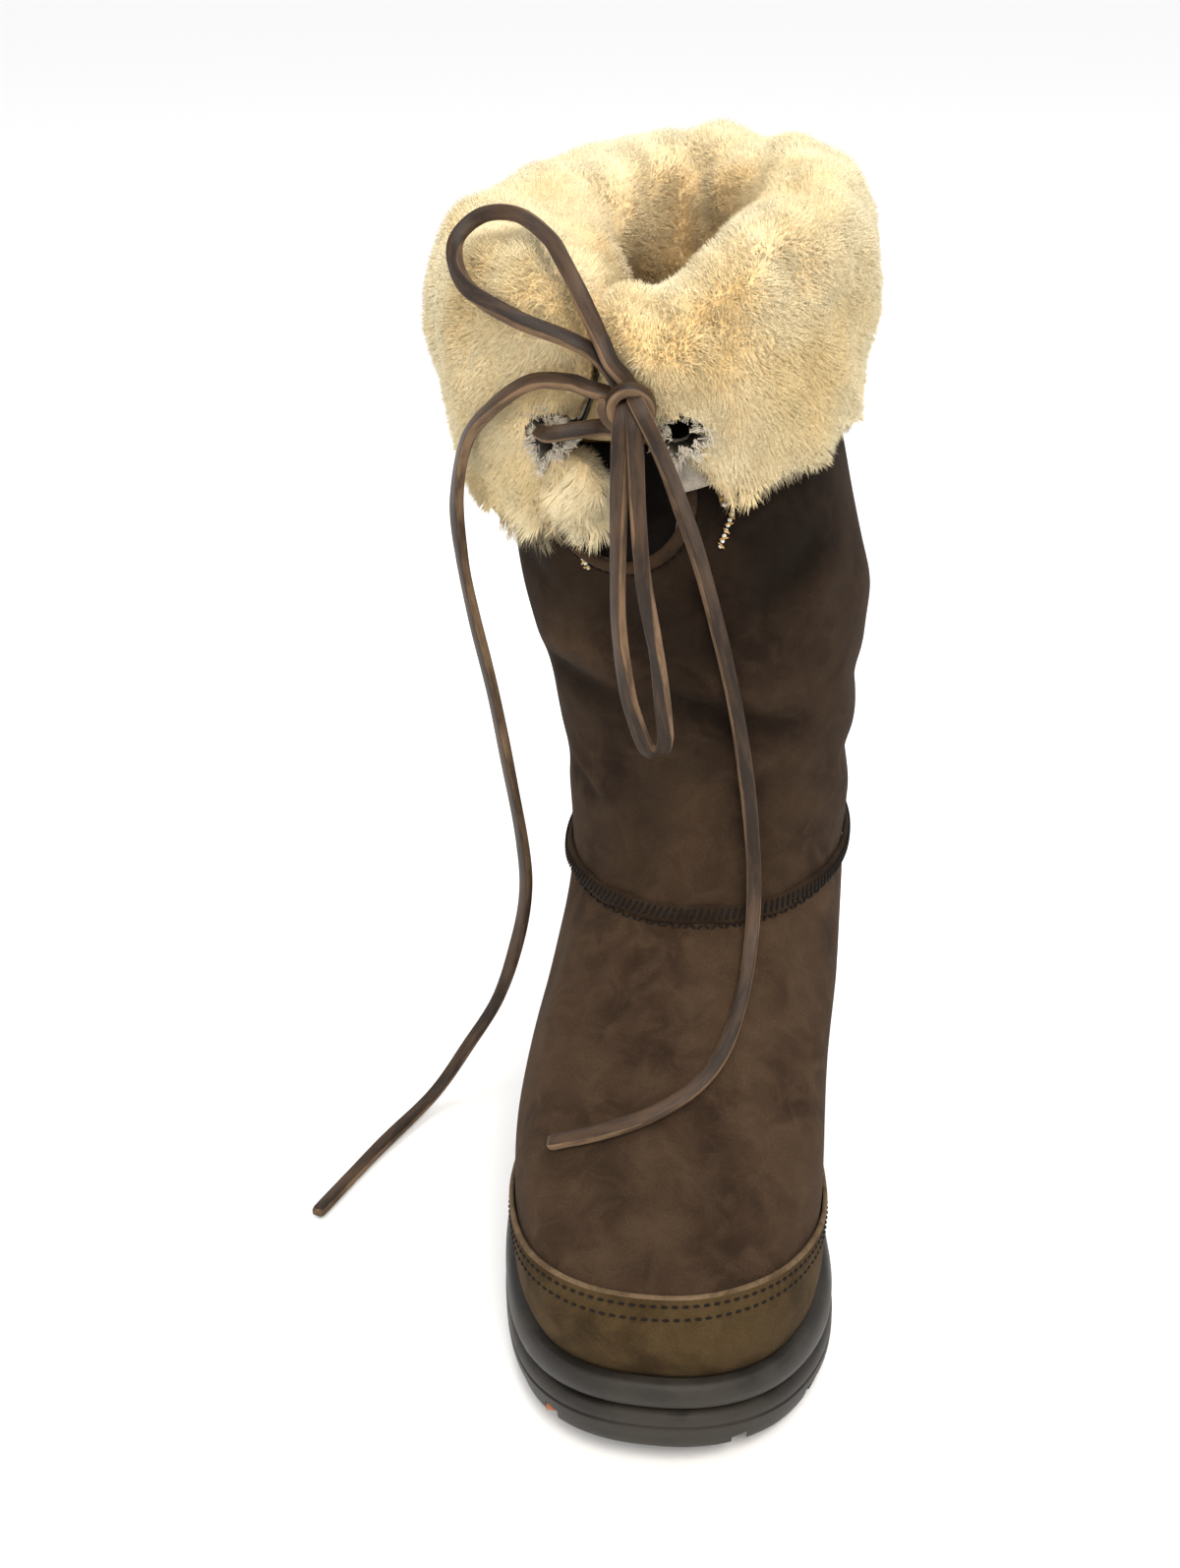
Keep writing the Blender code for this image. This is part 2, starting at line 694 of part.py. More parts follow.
# The fur from the hem up the outside, over the fold and down inside the collar. Drop is a share of the cuff's
# drop; level is a share of the shaft's height; thick is a share of the pile; gap is half the opening between
# the two front edges, in degrees.
FUR_OUTSIDE = (
    {"drop": 1.06, "thick": 0.30, "gap": 25.0},
    {"drop": 1.00, "thick": 0.55, "gap": 24.0},
    {"drop": 0.64, "thick": 1.05, "gap": 15.0},
    {"drop": 0.32, "thick": 1.20, "gap": 7.0},
    {"drop": 0.00, "thick": 1.15, "gap": 3.0},
)
FUR_FOLD = (
    {"angle": 135.0, "thick": 1.12, "gap": 2.5},
    {"angle": 90.0, "thick": 1.05, "gap": 2.5},
    {"angle": 45.0, "thick": 1.05, "gap": 2.5},
)
FUR_INSIDE = (
    {"level": 1.00, "thick": 1.00, "gap": 2.5},
    {"level": 0.90, "thick": 1.05, "gap": 3.0},
    {"level": 0.79, "thick": 0.55, "gap": 4.0},
)
EDGE_COLUMNS = 4
EDGE_SPAN = 30.0
FUR_GAP = 0.0006
EDGE_ROUND = 0.016
LOCK_EVERY = 3
LOCK_LENGTH = 0.006


def fur_lump(turn, row):
    """Soft swelling of the pile, about a lock's width across."""
    a = math.radians(turn)
    return (
        1
        + 0.10 * math.sin(5 * a + 1.7 * row)
        + 0.08 * math.sin(9 * a - 2.3 * row + 1.0)
        + 0.05 * math.sin(16 * a + 3.1 * row + 2.0)
    )


def fur_turns(gap):
    """Turns of the fur's columns: crowded at the two front edges, which a gap parts, else the wall's own."""
    edge = [gap + (EDGE_SPAN - gap) * k / EDGE_COLUMNS for k in range(EDGE_COLUMNS)]
    step = 360.0 / COLUMNS
    count = round((360.0 - 2 * EDGE_SPAN) / step)
    middle = [EDGE_SPAN + step * k for k in range(count + 1)]
    return [THROAT_TURN + t for t in edge + middle + [360.0 - t for t in reversed(edge)]]


def build_cuff(material):
    """Deep fur with its locks, over the turned-over collar."""
    outer, inner = [], []
    radius = (SHAFT_WIDTH + SHAFT_DEPTH) / 4

    def pile(t, row, number):
        """Length of the pile: rounded off towards the two front edges and lumpy all round."""
        gap = min(t - THROAT_TURN, 360.0 - t + THROAT_TURN) - row["gap"]
        end = math.radians(gap) * radius / EDGE_ROUND
        rounded = math.sqrt(1 - (1 - min(1.0, end)) ** 2)
        return PILE * row["thick"] * (0.35 + 0.65 * rounded) * fur_lump(t, number)

    def lock(c):
        return LOCK_LENGTH if c % LOCK_EVERY == 1 else 0.0

    number = 0
    for row in FUR_OUTSIDE:
        fur, skin = [], []
        for c, t in enumerate(fur_turns(row["gap"])):
            out = skin_gap(row["drop"]) + WALL + FUR_GAP
            drop = row["drop"] * cuff_drop(t)
            hem = lock(c) if number == 0 else -0.35 * lock(c) if number == 1 else 0.0
            fur.append(on_collar(t, -drop - hem, out + pile(t, row, number) + 0.2 * lock(c)))
            skin.append(on_collar(t, -drop, out))
        outer.append(fur)
        inner.append(skin)
        number += 1
    for row in FUR_FOLD:
        bend = FOLD_GAP / 2 + WALL + FUR_GAP
        around = fur_turns(row["gap"])
        outer.append([fold_row(t, bend + pile(t, row, number), row["angle"]) for t in around])
        inner.append([fold_row(t, bend, row["angle"]) for t in around])
        number += 1
    for row in FUR_INSIDE:
        around = fur_turns(row["gap"])
        height = INSTEP_HEIGHT + row["level"] * (COLLAR_HEIGHT - INSTEP_HEIGHT)
        short = INNER_PILE / PILE
        outer.append([on_hide(t, height, -WALL - FUR_GAP - short * pile(t, row, number)) for t in around])
        inner.append([on_hide(t, height, -WALL - FUR_GAP) for t in around])
        number += 1
    cuff = wall_piece("cuff_fur", outer, inner, False, material)
    cut(cuff, hole_cutter("fur_hole_cutter"))
    return cuff


def shell_piece(name, around, low, high, thick, material):
    """Even layer over the wall's own rows between two heights. around lists the turns of its columns."""
    heights = [low] + [row[0] for row in hide_rows() if low + 0.0005 < row[0] < high - 0.0005] + [high]
    outer = [[on_hide(t, z, OVERLAY_GAP + thick) for t in around] for z in heights]
    inner = [[on_hide(t, z, OVERLAY_GAP) for t in around] for z in heights]
    for high_point, low_point in zip(outer[0], inner[0]):
        high_point.z = low_point.z
    return wall_piece(name, outer, inner, False, material)


def columns_between(start, end):
    """The wall's own columns from one turn to another."""
    step = 360.0 / COLUMNS
    return [step * c for c in range(math.ceil(start / step), math.floor(end / step) + 1)]


def slanted_box(name, along, height, slope):
    """Large box above a plane that lies across the boot and climbs towards the toe by slope."""
    side, deep = 0.3, 0.2
    edge = Vector((0, HEEL_Y - along * SOLE_LENGTH, height))
    run = Vector((0, -1, slope)).normalized()
    up = Vector((0, slope, 1)).normalized()
    points = []
    for lift in (0.0, deep):
        for x, y in ((-side, -side), (-side, side), (side, side), (side, -side)):
            points.append(edge + x * Vector((1, 0, 0)) + y * run + lift * up)
    faces = [(0, 3, 2, 1), (4, 5, 6, 7), (0, 1, 5, 4), (1, 2, 6, 5), (2, 3, 7, 6), (3, 0, 4, 7)]
    box = add_piece(name, points, faces, None)
    outward(box)
    return box


def build_toe_cap(material):
    """Bumper round the toe. Its top edge drops from the toe to the sole at the waist."""
    around = columns_between(-CAP_REACH, CAP_REACH)
    cap = shell_piece("toe_cap", around, FOOT_BOTTOM + SOLE_CLEARANCE, INSTEP_HEIGHT - 0.02, OVERLAY, material)
    toe_top = footbed_height(1.0) + CAP_HEIGHT
    slope = (toe_top - footbed_height(CAP_END) - 0.003) / ((1.0 - CAP_END) * SOLE_LENGTH)
    cut(cap, slanted_box("above_toe_cap", 1.0, toe_top, slope))
    return cap


def build_heel_counter(material):
    """Counter round the heel, highest at the back."""
    around = columns_between(180.0 - COUNTER_REACH, 180.0 + COUNTER_REACH)
    counter = shell_piece("heel_counter", around, FOOT_BOTTOM + SOLE_CLEARANCE, INSTEP_HEIGHT - 0.006, OVERLAY, material)
    heel_top = HEEL_STACK + COUNTER_HEIGHT
    slope = -(COUNTER_HEIGHT - 0.012) / (0.30 * SOLE_LENGTH)
    cut(counter, slanted_box("above_counter", 0.0, heel_top, slope))
    return counter


def build_back_stay(material):
    """Strip up the back seam, from the instep seam to the braid."""
    low = INSTEP_HEIGHT + SEAM_WIDTH / 2 + 0.001
    high = min(COLLAR_HEIGHT - cuff_drop(t) for t in (170.0, 190.0)) - BRAID_BELOW * BRAID_WIDTH - 0.001
    stay = shell_piece("back_stay", columns_between(150.0, 210.0), low, high, OVERLAY, material)
    middle = upper_point(180.0, (low + high) / 2)
    reach = 0.05
    sides = [
        ((middle.x + side * (STAY_WIDTH / 2 + reach), middle.y, middle.z), (reach, 0.05, 0.15)) for side in (-1, 1)
    ]
    cut(stay, add_boxes("beside_back_stay", sides))
    return stay


def build_instep_seam(material):
    """Raised whipped seam where the shaft is joined to the vamp."""
    outer, inner = [], []
    for share, proud in ((-1.0, 0.35), (-0.4, 1.0), (0.4, 1.0), (1.0, 0.35)):
        z = INSTEP_HEIGHT + share * SEAM_WIDTH / 2
        outer.append([on_hide(t, z, GAP + proud * SEAM_PROUD) for t in turns(COLUMNS)])
        inner.append([on_hide(t, z, GAP) for t in turns(COLUMNS)])
    return wall_piece("instep_seam", outer, inner, True, material)


def build_braid(material):
    """Woven ribbon round the shaft under the hem, stopping each side of the throat."""
    outer, inner = [], []
    clear = THROAT_WIDTH / 2 + BINDING_WIDTH + BRAID_CLEARANCE
    drop = cuff_drop(THROAT_TURN)
    around = columns_between(throat_place(clear, drop), throat_place(-clear, drop) + 360.0)
    for up in (0.0, 0.5, 1.0):
        heights = [COLLAR_HEIGHT - cuff_drop(t) + (up - BRAID_BELOW) * BRAID_WIDTH for t in around]
        outer.append([on_hide(t, z, GAP + BRAID_THICK) for t, z in zip(around, heights)])
        inner.append([on_hide(t, z, GAP) for t, z in zip(around, heights)])
    return wall_piece("braid_trim", outer, inner, False, material)


def throat_place(across, drop):
    """Turn on the shaft that lies a distance across from the throat's middle line, at a drop below the collar."""
    side = throat_bearing()[1]
    middle = upper_point(THROAT_TURN, COLLAR_HEIGHT)
    low, high = THROAT_TURN - 80.0, THROAT_TURN + 80.0
    for _ in range(30):
        turn = (low + high) / 2
        if (on_hide(turn, COLLAR_HEIGHT - drop, 0.0) - middle).dot(side) < across:
            low = turn
        else:
            high = turn
    return turn


def on_throat(across, drop, out):
    """Point on the shaft's front at a place on the throat's outline."""
    return on_hide(throat_place(across, drop), COLLAR_HEIGHT - drop, out)


def build_binding(material):
    """Rim round the lower part of the throat."""
    count = 17
    outer, inner = [], []
    for grow in (GAP, GAP + BINDING_WIDTH):
        high, low = [], []
        for k in range(count):
            a = math.radians(-100 + 200 * k / (count - 1))
            radius = THROAT_WIDTH / 2 + grow
            across = radius * math.sin(a)
            drop = THROAT_DEPTH - THROAT_WIDTH / 2 + radius * math.cos(a)
            high.append(on_throat(across, drop, GAP + BINDING_PROUD))
            low.append(on_throat(across, drop, GAP))
        outer.append(high)
        inner.append(low)
    piece = wall_piece("throat_binding", outer[::-1], inner[::-1], False, material)
    outward(piece)
    return piece


def build_gusset(material):
    """Dark panel behind the throat, hollowed inwards between its edges."""
    reach, hollow = 30.0, 0.009
    low = THROAT_DEPTH + 0.008
    high = (1 - FUR_INSIDE[-1]["level"]) * (COLLAR_HEIGHT - INSTEP_HEIGHT) + 0.004
    outer, inner = [], []
    for r in range(5):
        drop = low + (high - low) * r / 4
        front, back = [], []
        for c in range(9):
            across = -1 + 2 * c / 8
            turn = throat_place(0.0, drop) + reach * across
            depth = WALL + GAP + hollow * (1 - across * across) * ease((low - drop) / (0.6 * (low - high)))
            front.append(on_hide(turn, COLLAR_HEIGHT - drop, -depth))
            back.append(on_hide(turn, COLLAR_HEIGHT - drop, -depth - 0.0014))
        outer.append(front)
        inner.append(back)
    return wall_piece("throat_gusset", outer, inner, False, material)


# Routes of the lace, in millimetres from the middle of the knot: across to the inner side, back to the heel, up.
BAR_ROUTE = (
    (-30.5, 13.2, -12.5), (-26.0, 7.4, -11.5), (-18.5, 8.8, -10.5), (-9.5, 11.2, -9.6), (-1.5, 9.4, -10.5),
    (4.0, 13.0, -11.5),
)
UPPER_LOOP_ROUTE = (
    (2.5, 0.0, 5.1), (-3.0, 0.7, 10.4), (-8.4, 5.2, 18.9), (-15.7, 6.6, 32.2), (-21.2, 11.8, 39.9),
    (-26.7, 18.8, 44.8), (-39.3, 34.6, 48.0), (-52.2, 40.7, 46.2), (-59.2, 34.4, 38.8), (-53.5, 23.0, 28.7),
    (-35.2, 7.4, 23.4), (-18.4, 2.0, 18.6), (-7.2, -2.8, 12.6), (-4.6, -4.6, 7.8),
)
LOWER_LOOP_ROUTE = (
    (-3.1, 0.8, -4.0), (-2.2, -3.0, -18.0), (-3.4, -2.0, -40.0), (-4.2, 0.0, -67.0), (-1.6, 1.0, -94.0),
    (3.6, 1.0, -110.0), (7.8, 1.0, -115.0), (9.6, 0.0, -105.0), (8.2, -2.0, -79.0), (4.7, -4.0, -55.0),
    (3.6, -5.0, -33.0), (3.8, -5.2, -14.0), (3.8, -4.0, -5.1),
)
# The outer end: height is a share of the knot's own height above the floor.
OUTER_END_ROUTE = (
    {"across": -9.2, "back": 0.5, "height": 1.004},
    {"across": -13.5, "back": 3.5, "height": 1.012},
    {"across": -19.0, "back": 6.5, "height": 1.016},
    {"across": -31.0, "back": 7.0, "height": 1.014},
    {"across": -43.5, "back": 11.0, "height": 0.986},
    {"across": -56.0, "back": 23.5, "height": 0.938},
    {"across": -65.0, "back": 41.0, "height": 0.858},
    {"across": -66.5, "back": 49.0, "height": 0.784},
    {"across": -65.0, "back": 55.0, "height": 0.709},
    {"across": -61.0, "back": 61.0, "height": 0.607},
    {"across": -58.0, "back": 67.0, "height": 0.499},
    {"across": -56.0, "back": 74.0, "height": 0.396},
    {"across": -57.0, "back": 80.0, "height": 0.318},
    {"across": -62.5, "back": 85.0, "height": 0.236},
    {"across": -72.0, "back": 87.0, "height": 0.145},
    {"across": -84.5, "back": 83.0, "height": 0.077},
    {"across": -97.0, "back": 70.0, "height": 0.024},
    {"across": -111.0, "back": 38.0, "height": 0.000},
    {"across": -123.0, "back": -4.0, "height": 0.000},
)
# The inner end falls from the knot and then lies on the suede: level 1 is the instep seam, 2 the collar.
INNER_END_FALL = ((11.1, 0.0, -0.6), (12.0, 4.5, -15.5), (14.4, 12.0, -35.0), (18.4, 19.0, -53.0))
INNER_END_LYING = (
    {"turn": 16.4, "level": 1.505, "over": 0.0},
    {"turn": 17.7, "level": 1.374, "over": 0.0},
    {"turn": 19.7, "level": 1.252, "over": 0.0},
    {"turn": 22.2, "level": 1.131, "over": 0.5},
    {"turn": 24.2, "level": 1.030, "over": 1.0},
    {"turn": 25.9, "level": 0.909, "over": 0.3},
    {"turn": 24.8, "level": 0.797, "over": 0.0},
    {"turn": 20.2, "level": 0.698, "over": 0.0},
    {"turn": 12.0, "level": 0.639, "over": 0.0},
    {"turn": 0.0, "level": 0.595, "over": 0.0},
    {"turn": -15.7, "level": 0.550, "over": 0.0},
    {"turn": -38.0, "level": 0.482, "over": 0.0},
)


def knot_middle():
    return on_collar(THROAT_TURN, -KNOT_DROP, KNOT_OUT) + Vector((KNOT_ACROSS, 0, 0))


def from_knot(route):
    """Route in metres from its millimetres beside the knot."""
    middle = knot_middle()
    return [middle + Vector((across, back, up)) / 1000 for across, back, up in route]


def smooth_route(points, spacing):
    """Evenly spaced points on one smooth curve through a route's points."""
    ends = [2 * points[0] - points[1], *points, 2 * points[-1] - points[-2]]
    fine = []
    for before, start, end, after in zip(ends, ends[1:], ends[2:], ends[3:]):
        for k in range(24):
            t = k / 24
            fine.append(
                0.5 * (
                    2 * start
                    + (end - before) * t
                    + (2 * before - 5 * start + 4 * end - after) * t**2
                    + (3 * start - before - 3 * end + after) * t**3
                )
            )
    fine.append(points[-1])
    total = sum((b - a).length for a, b in zip(fine, fine[1:]))
    count = max(4, round(total / spacing))
    even, done, k = [points[0]], 0.0, 1
    for a, b in zip(fine, fine[1:]):
        length = (b - a).length
        while k < count and done + length >= total * k / count:
            even.append(a.lerp(b, (total * k / count - done) / length))
            k += 1
        done += length
    return even + [points[-1]]


def add_cord(name, points, material):
    curve = bpy.data.curves.new(name, "CURVE")
    curve.dimensions = "3D"
    curve.bevel_depth = LACE_DIAMETER / 2
    curve.bevel_resolution = 2
    curve.use_fill_caps = True
    spline = curve.splines.new("POLY")
    spline.points.add(len(points) - 1)
    for place, point in zip(spline.points, points):
        place.co = (*point, 1)
    curve.materials.append(material)
    cord = bpy.data.objects.new(name, curve)
    bpy.context.scene.collection.objects.link(cord)
    return cord


def build_lace(material):
    """Thong: bar between the holes, knot, two loops and two ends."""
    middle = knot_middle()
    turns_of_knot = []
    count = round(KNOT_TURNS * 11)
    for k in range(count + 1):
        a = 2 * math.pi * KNOT_TURNS * k / count
        rise = KNOT_PITCH * KNOT_TURNS * (k / count - 0.5)
        turns_of_knot.append(middle + Vector((KNOT_RADIUS * math.sin(a), KNOT_RADIUS * math.cos(a), rise)))
    add_cord("lace_knot", turns_of_knot, material)
    add_cord("lace_bar", smooth_route(from_knot(BAR_ROUTE), LACE_SPACING / 2), material)
    add_cord("lace_loop_upper", smooth_route(from_knot(UPPER_LOOP_ROUTE), LACE_SPACING), material)
    add_cord("lace_loop_lower", smooth_route(from_knot(LOWER_LOOP_ROUTE), LACE_SPACING), material)
    floor = LACE_DIAMETER / 2 + 0.0008
    outer_end = []
    for row in OUTER_END_ROUTE:
        x = middle.x + row["across"] / 1000
        y = middle.y + row["back"] / 1000
        outer_end.append(Vector((x, y, max(floor, row["height"] * middle.z))))
    add_cord("lace_end_outer", smooth_route(outer_end, LACE_SPACING), material)
    inner_end = from_knot(INNER_END_FALL)
    for row in INNER_END_LYING:
        if row["level"] > 1:
            height = INSTEP_HEIGHT + (row["level"] - 1) * (COLLAR_HEIGHT - INSTEP_HEIGHT)
        else:
            height = FOOT_BOTTOM + row["level"] * (INSTEP_HEIGHT - FOOT_BOTTOM)
        clear = LACE_DIAMETER / 2 + 0.0009 + row["over"] * SEAM_PROUD
        inner_end.append(on_upper(row["turn"], height, clear))
    add_cord("lace_end_inner", smooth_route(inner_end, LACE_SPACING), material)


def stand_over_origin():
    """Moves everything so that the middle of the boot without its lace is over the origin."""
    graph = bpy.context.evaluated_depsgraph_get()
    low, high = Vector((9, 9, 9)), Vector((-9, -9, -9))
    for piece in bpy.data.objects:
        if piece.hide_render or piece.name.startswith("lace_"):
            continue
        shape = piece.evaluated_get(graph)
        for corner in shape.bound_box:
            place = shape.matrix_world @ Vector(corner)
            low = Vector(map(min, low, place))
            high = Vector(map(max, high, place))
    shift = Vector((-(low.x + high.x) / 2, -(low.y + high.y) / 2, 0))
    for piece in bpy.data.objects:
        piece.location += shift


def main():
    clear_scene()
    dark_rubber = rubber_or_hide("dark_rubber", (0.040, 0.036, 0.031), 0.6)
    tan_rubber = rubber_or_hide("tan_rubber", (0.36, 0.14, 0.06), 0.7)
    suede = rubber_or_hide("brown_suede", (0.070, 0.044, 0.028), 0.95)
    olive_suede = rubber_or_hide("olive_suede", (0.095, 0.062, 0.028), 0.95)
    black_suede = rubber_or_hide("black_suede", (0.010, 0.008, 0.007), 1.0)
    fur = rubber_or_hide("cream_fur", (0.72, 0.58, 0.33), 1.0)
    thong = rubber_or_hide("leather_thong", (0.075, 0.050, 0.036), 0.7)
    ribbon = rubber_or_hide("gold_ribbon", (0.20, 0.11, 0.03), 0.6)
    build_outsole(dark_rubber)
    build_pods(tan_rubber)
    build_midsole(dark_rubber)
    build_insole(fur)
    build_upper(suede)
    build_toe_cap(olive_suede)
    build_heel_counter(olive_suede)
    build_back_stay(suede)
    build_instep_seam(suede)
    build_braid(ribbon)
    build_binding(suede)
    build_gusset(black_suede)
    build_cuff(fur)
    build_lace(thong)
    stand_over_origin()


main()
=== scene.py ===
"""Tall sheepskin boot, dressed: nap suede over a fold-down shearling cuff, a leather thong, braid, toe cap,
whipped instep seam and a two-layer rubber sole. Metres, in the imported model's own frame: toe towards -Y, the
big toe side towards +X, the floor at Z 0."""

import math

import bmesh
import bpy
import numpy as np
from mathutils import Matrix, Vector


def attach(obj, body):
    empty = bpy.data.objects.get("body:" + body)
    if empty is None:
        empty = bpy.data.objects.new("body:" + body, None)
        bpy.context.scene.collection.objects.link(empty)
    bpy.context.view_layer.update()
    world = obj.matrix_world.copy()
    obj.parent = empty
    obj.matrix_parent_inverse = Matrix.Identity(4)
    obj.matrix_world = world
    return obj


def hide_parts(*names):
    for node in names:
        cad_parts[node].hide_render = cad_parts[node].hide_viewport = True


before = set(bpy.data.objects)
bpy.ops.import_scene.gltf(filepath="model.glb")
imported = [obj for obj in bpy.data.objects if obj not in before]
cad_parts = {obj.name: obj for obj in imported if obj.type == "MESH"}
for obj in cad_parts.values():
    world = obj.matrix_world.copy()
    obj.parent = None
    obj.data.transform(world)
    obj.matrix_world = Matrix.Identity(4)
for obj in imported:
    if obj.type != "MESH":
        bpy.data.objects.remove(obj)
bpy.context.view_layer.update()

# Sizes of the boot, the same as the solids have.
MODEL_SHIFT = np.array([0.01659, -0.001773, 0.0])
SOLE_LENGTH = 0.280
BALL_WIDTH = 0.118
BALL_STACK = 0.027
HEEL_STACK = 0.038
OUTSOLE_AT_BALL = 0.0165
OUTSOLE_AT_HEEL = 0.021
TOE_SPRING = 0.009
ARCH_RISE = 0.006
INNER_WAIST = 0.28
OUTER_WAIST = 0.15
TOE_SWING = 0.006
BALL_SKEW = 0.010
INSTEP_HEIGHT = 0.132
COLLAR_HEIGHT = 0.346
SHAFT_DEPTH = 0.130
SHAFT_WIDTH = 0.108
SHAFT_AXIS = 0.080
WALL = 0.0026
GAP = 0.0003
COLLAR_LEAN = -0.020
COLLAR_TWIST = 6.0
COLLAR_TIP = 0.008
COLLAR_TIP_TURN = 150.0
THROAT_TURN = 3.0
FOLD_GAP = 0.0052
CUFF_DROP = 0.048
CUFF_SAG = 0.020
CUFF_SAG_TURN = 300.0
HEM_GAP = 0.0024
PILE = 0.0125
INNER_PILE = 0.015
OVERLAY = 0.0016
OVERLAY_GAP = 0.0006
SOLE_CLEARANCE = 0.0008
CAP_HEIGHT = 0.029
CAP_END = 0.42
CAP_REACH = 130.0
COUNTER_REACH = 56.0
COUNTER_HEIGHT = 0.062
BRAID_BELOW = 0.60
BRAID_CLEARANCE = 0.002
STAY_WIDTH = 0.018
SEAM_WIDTH = 0.008
SEAM_PROUD = 0.0024
BRAID_WIDTH = 0.016
BRAID_THICK = 0.0012
BINDING_WIDTH = 0.0045
BINDING_PROUD = 0.0018
INSOLE_THICK = 0.006
THROAT_WIDTH = 0.042
THROAT_DEPTH = 0.086
HOLE_RADIUS = 0.0048
HOLE_DROP = 0.038
HOLE_SPREAD = 0.0155
LACE_WIDTH = 0.0048
LACE_THICK = 0.0034
LACE_RADIUS = 0.0024
KNOT_DROP = 0.024
KNOT_OUT = 0.029
KNOT_ACROSS = 0.0095
KNOT_RADIUS = 0.0062
KNOT_GROWS = 0.0021
KNOT_PITCH = 0.0012
KNOT_TURNS = 1.3
KNOT_START = math.radians(175)
KNOT_FACES = (0.14, -0.96, -0.22)
LUG_DEPTH = 0.0045
GROOVE_WIDTH = 0.0048
TREAD_GROOVES = (0.10, 0.18, 0.62, 0.70, 0.78, 0.86)
TOE_GROOVE_ACROSS = 0.031
TOE_GROOVE_START = 0.900
HEEL_Y = SOLE_LENGTH / 2
WIDEST_AT = 0.655
TOE_SQUARE = 2.35
HEEL_SQUARE = 2.50
COLUMNS = 40

SOLE_LINE = (
    {"along": 0.00, "heel": 1.00, "spring": 0.00, "arch": 0.30},
    {"along": 0.05, "heel": 1.00, "spring": 0.00, "arch": 0.00},
    {"along": 0.27, "heel": 0.95, "spring": 0.00, "arch": 0.00},
    {"along": 0.36, "heel": 0.76, "spring": 0.00, "arch": 0.85},
    {"along": 0.45, "heel": 0.50, "spring": 0.00, "arch": 1.00},
    {"along": 0.54, "heel": 0.25, "spring": 0.00, "arch": 0.35},
    {"along": 0.60, "heel": 0.10, "spring": 0.00, "arch": 0.00},
    {"along": 0.78, "heel": 0.00, "spring": 0.00, "arch": 0.00},
    {"along": 0.90, "heel": 0.00, "spring": 0.33, "arch": 0.00},
    {"along": 1.00, "heel": 0.00, "spring": 1.00, "arch": 0.00},
)
FOOT_SECTIONS = (
    {"height": 0.00, "back": 0.024, "front": 0.968, "wide": 0.655, "half": 0.442,
     "nose": 2.35, "heel": 2.50, "waist": 1.00},
    {"height": 0.10, "back": 0.016, "front": 0.975, "wide": 0.655, "half": 0.466,
     "nose": 2.35, "heel": 2.50, "waist": 0.70},
    {"height": 0.22, "back": 0.016, "front": 0.966, "wide": 0.648, "half": 0.470,
     "nose": 2.30, "heel": 2.40, "waist": 0.40},
    {"height": 0.33, "back": 0.020, "front": 0.932, "wide": 0.622, "half": 0.464,
     "nose": 2.25, "heel": 2.35, "waist": 0.20},
    {"height": 0.45, "back": 0.028, "front": 0.862, "wide": 0.570, "half": 0.454,
     "nose": 2.20, "heel": 2.30, "waist": 0.08},
    {"height": 0.60, "back": 0.040, "front": 0.760, "wide": 0.490, "half": 0.444,
     "nose": 2.10, "heel": 2.25, "waist": 0.00},
    {"height": 0.80, "back": 0.052, "front": 0.630, "wide": 0.385, "half": 0.430,
     "nose": 2.10, "heel": 2.20, "waist": 0.00},
    {"height": 1.00, "back": 0.060, "front": 0.540, "wide": 0.310, "half": 0.422,
     "nose": 2.10, "heel": 2.20, "waist": 0.00},
)
SHAFT_SECTIONS = (
    {"height": 0.12, "back": 0.470, "front": 0.465, "half": 0.476},
    {"height": 0.30, "back": 0.480, "front": 0.450, "half": 0.520},
    {"height": 0.50, "back": 0.490, "front": 0.460, "half": 0.552},
    {"height": 0.64, "back": 0.490, "front": 0.465, "half": 0.540},
    {"height": 0.80, "back": 0.480, "front": 0.465, "half": 0.498},
    {"height": 1.00, "back": 0.460, "front": 0.460, "half": 0.455},
)
THROAT_OUTLINE = (
    {"drop": -0.30, "half": 0.05},
    {"drop": 0.10, "half": 0.05},
    {"drop": 0.35, "half": 0.18},
    {"drop": 0.60, "half": 0.40},
    {"drop": 0.76, "half": 0.50},
    {"drop": 0.90, "half": 0.42},
    {"drop": 0.97, "half": 0.24},
    {"drop": 1.00, "half": 0.00},
)


def smooth_value(rows, key, at):
    """Values of a table's column between its rows, on a smooth curve that never overshoots."""
    first = next(iter(rows[0]))
    places = np.array([row[first] for row in rows])
    values = np.array([row[key] for row in rows])
    at = np.clip(np.asarray(at, float), places[0], places[-1])
    slopes = np.diff(values) / np.diff(places)
    joint = np.concatenate([slopes[:1], np.zeros(len(slopes) - 1), slopes[-1:]])
    for k in range(1, len(slopes)):
        before, after = slopes[k - 1], slopes[k]
        joint[k] = 0.0 if before * after <= 0 else 2 * before * after / (before + after)
    k = np.clip(np.searchsorted(places, at, side="right") - 1, 0, len(slopes) - 1)
    step = places[k + 1] - places[k]
    t = (at - places[k]) / step
    return (
        (2 * t**3 - 3 * t**2 + 1) * values[k]
        + (t**3 - 2 * t**2 + t) * step * joint[k]
        + (3 * t**2 - 2 * t**3) * values[k + 1]
        + (t**3 - t**2) * step * joint[k + 1]
    )


def ease(x):
    x = np.clip(x, 0.0, 1.0)
    return x * x * (3 - 2 * x)


def bump(x, centre, spread):
    return np.exp(-(((x - centre) / spread) ** 2))


def length_of(v):
    return np.linalg.norm(v, axis=-1, keepdims=True)


def unit(v):
    return v / np.maximum(length_of(v), 1e-12)


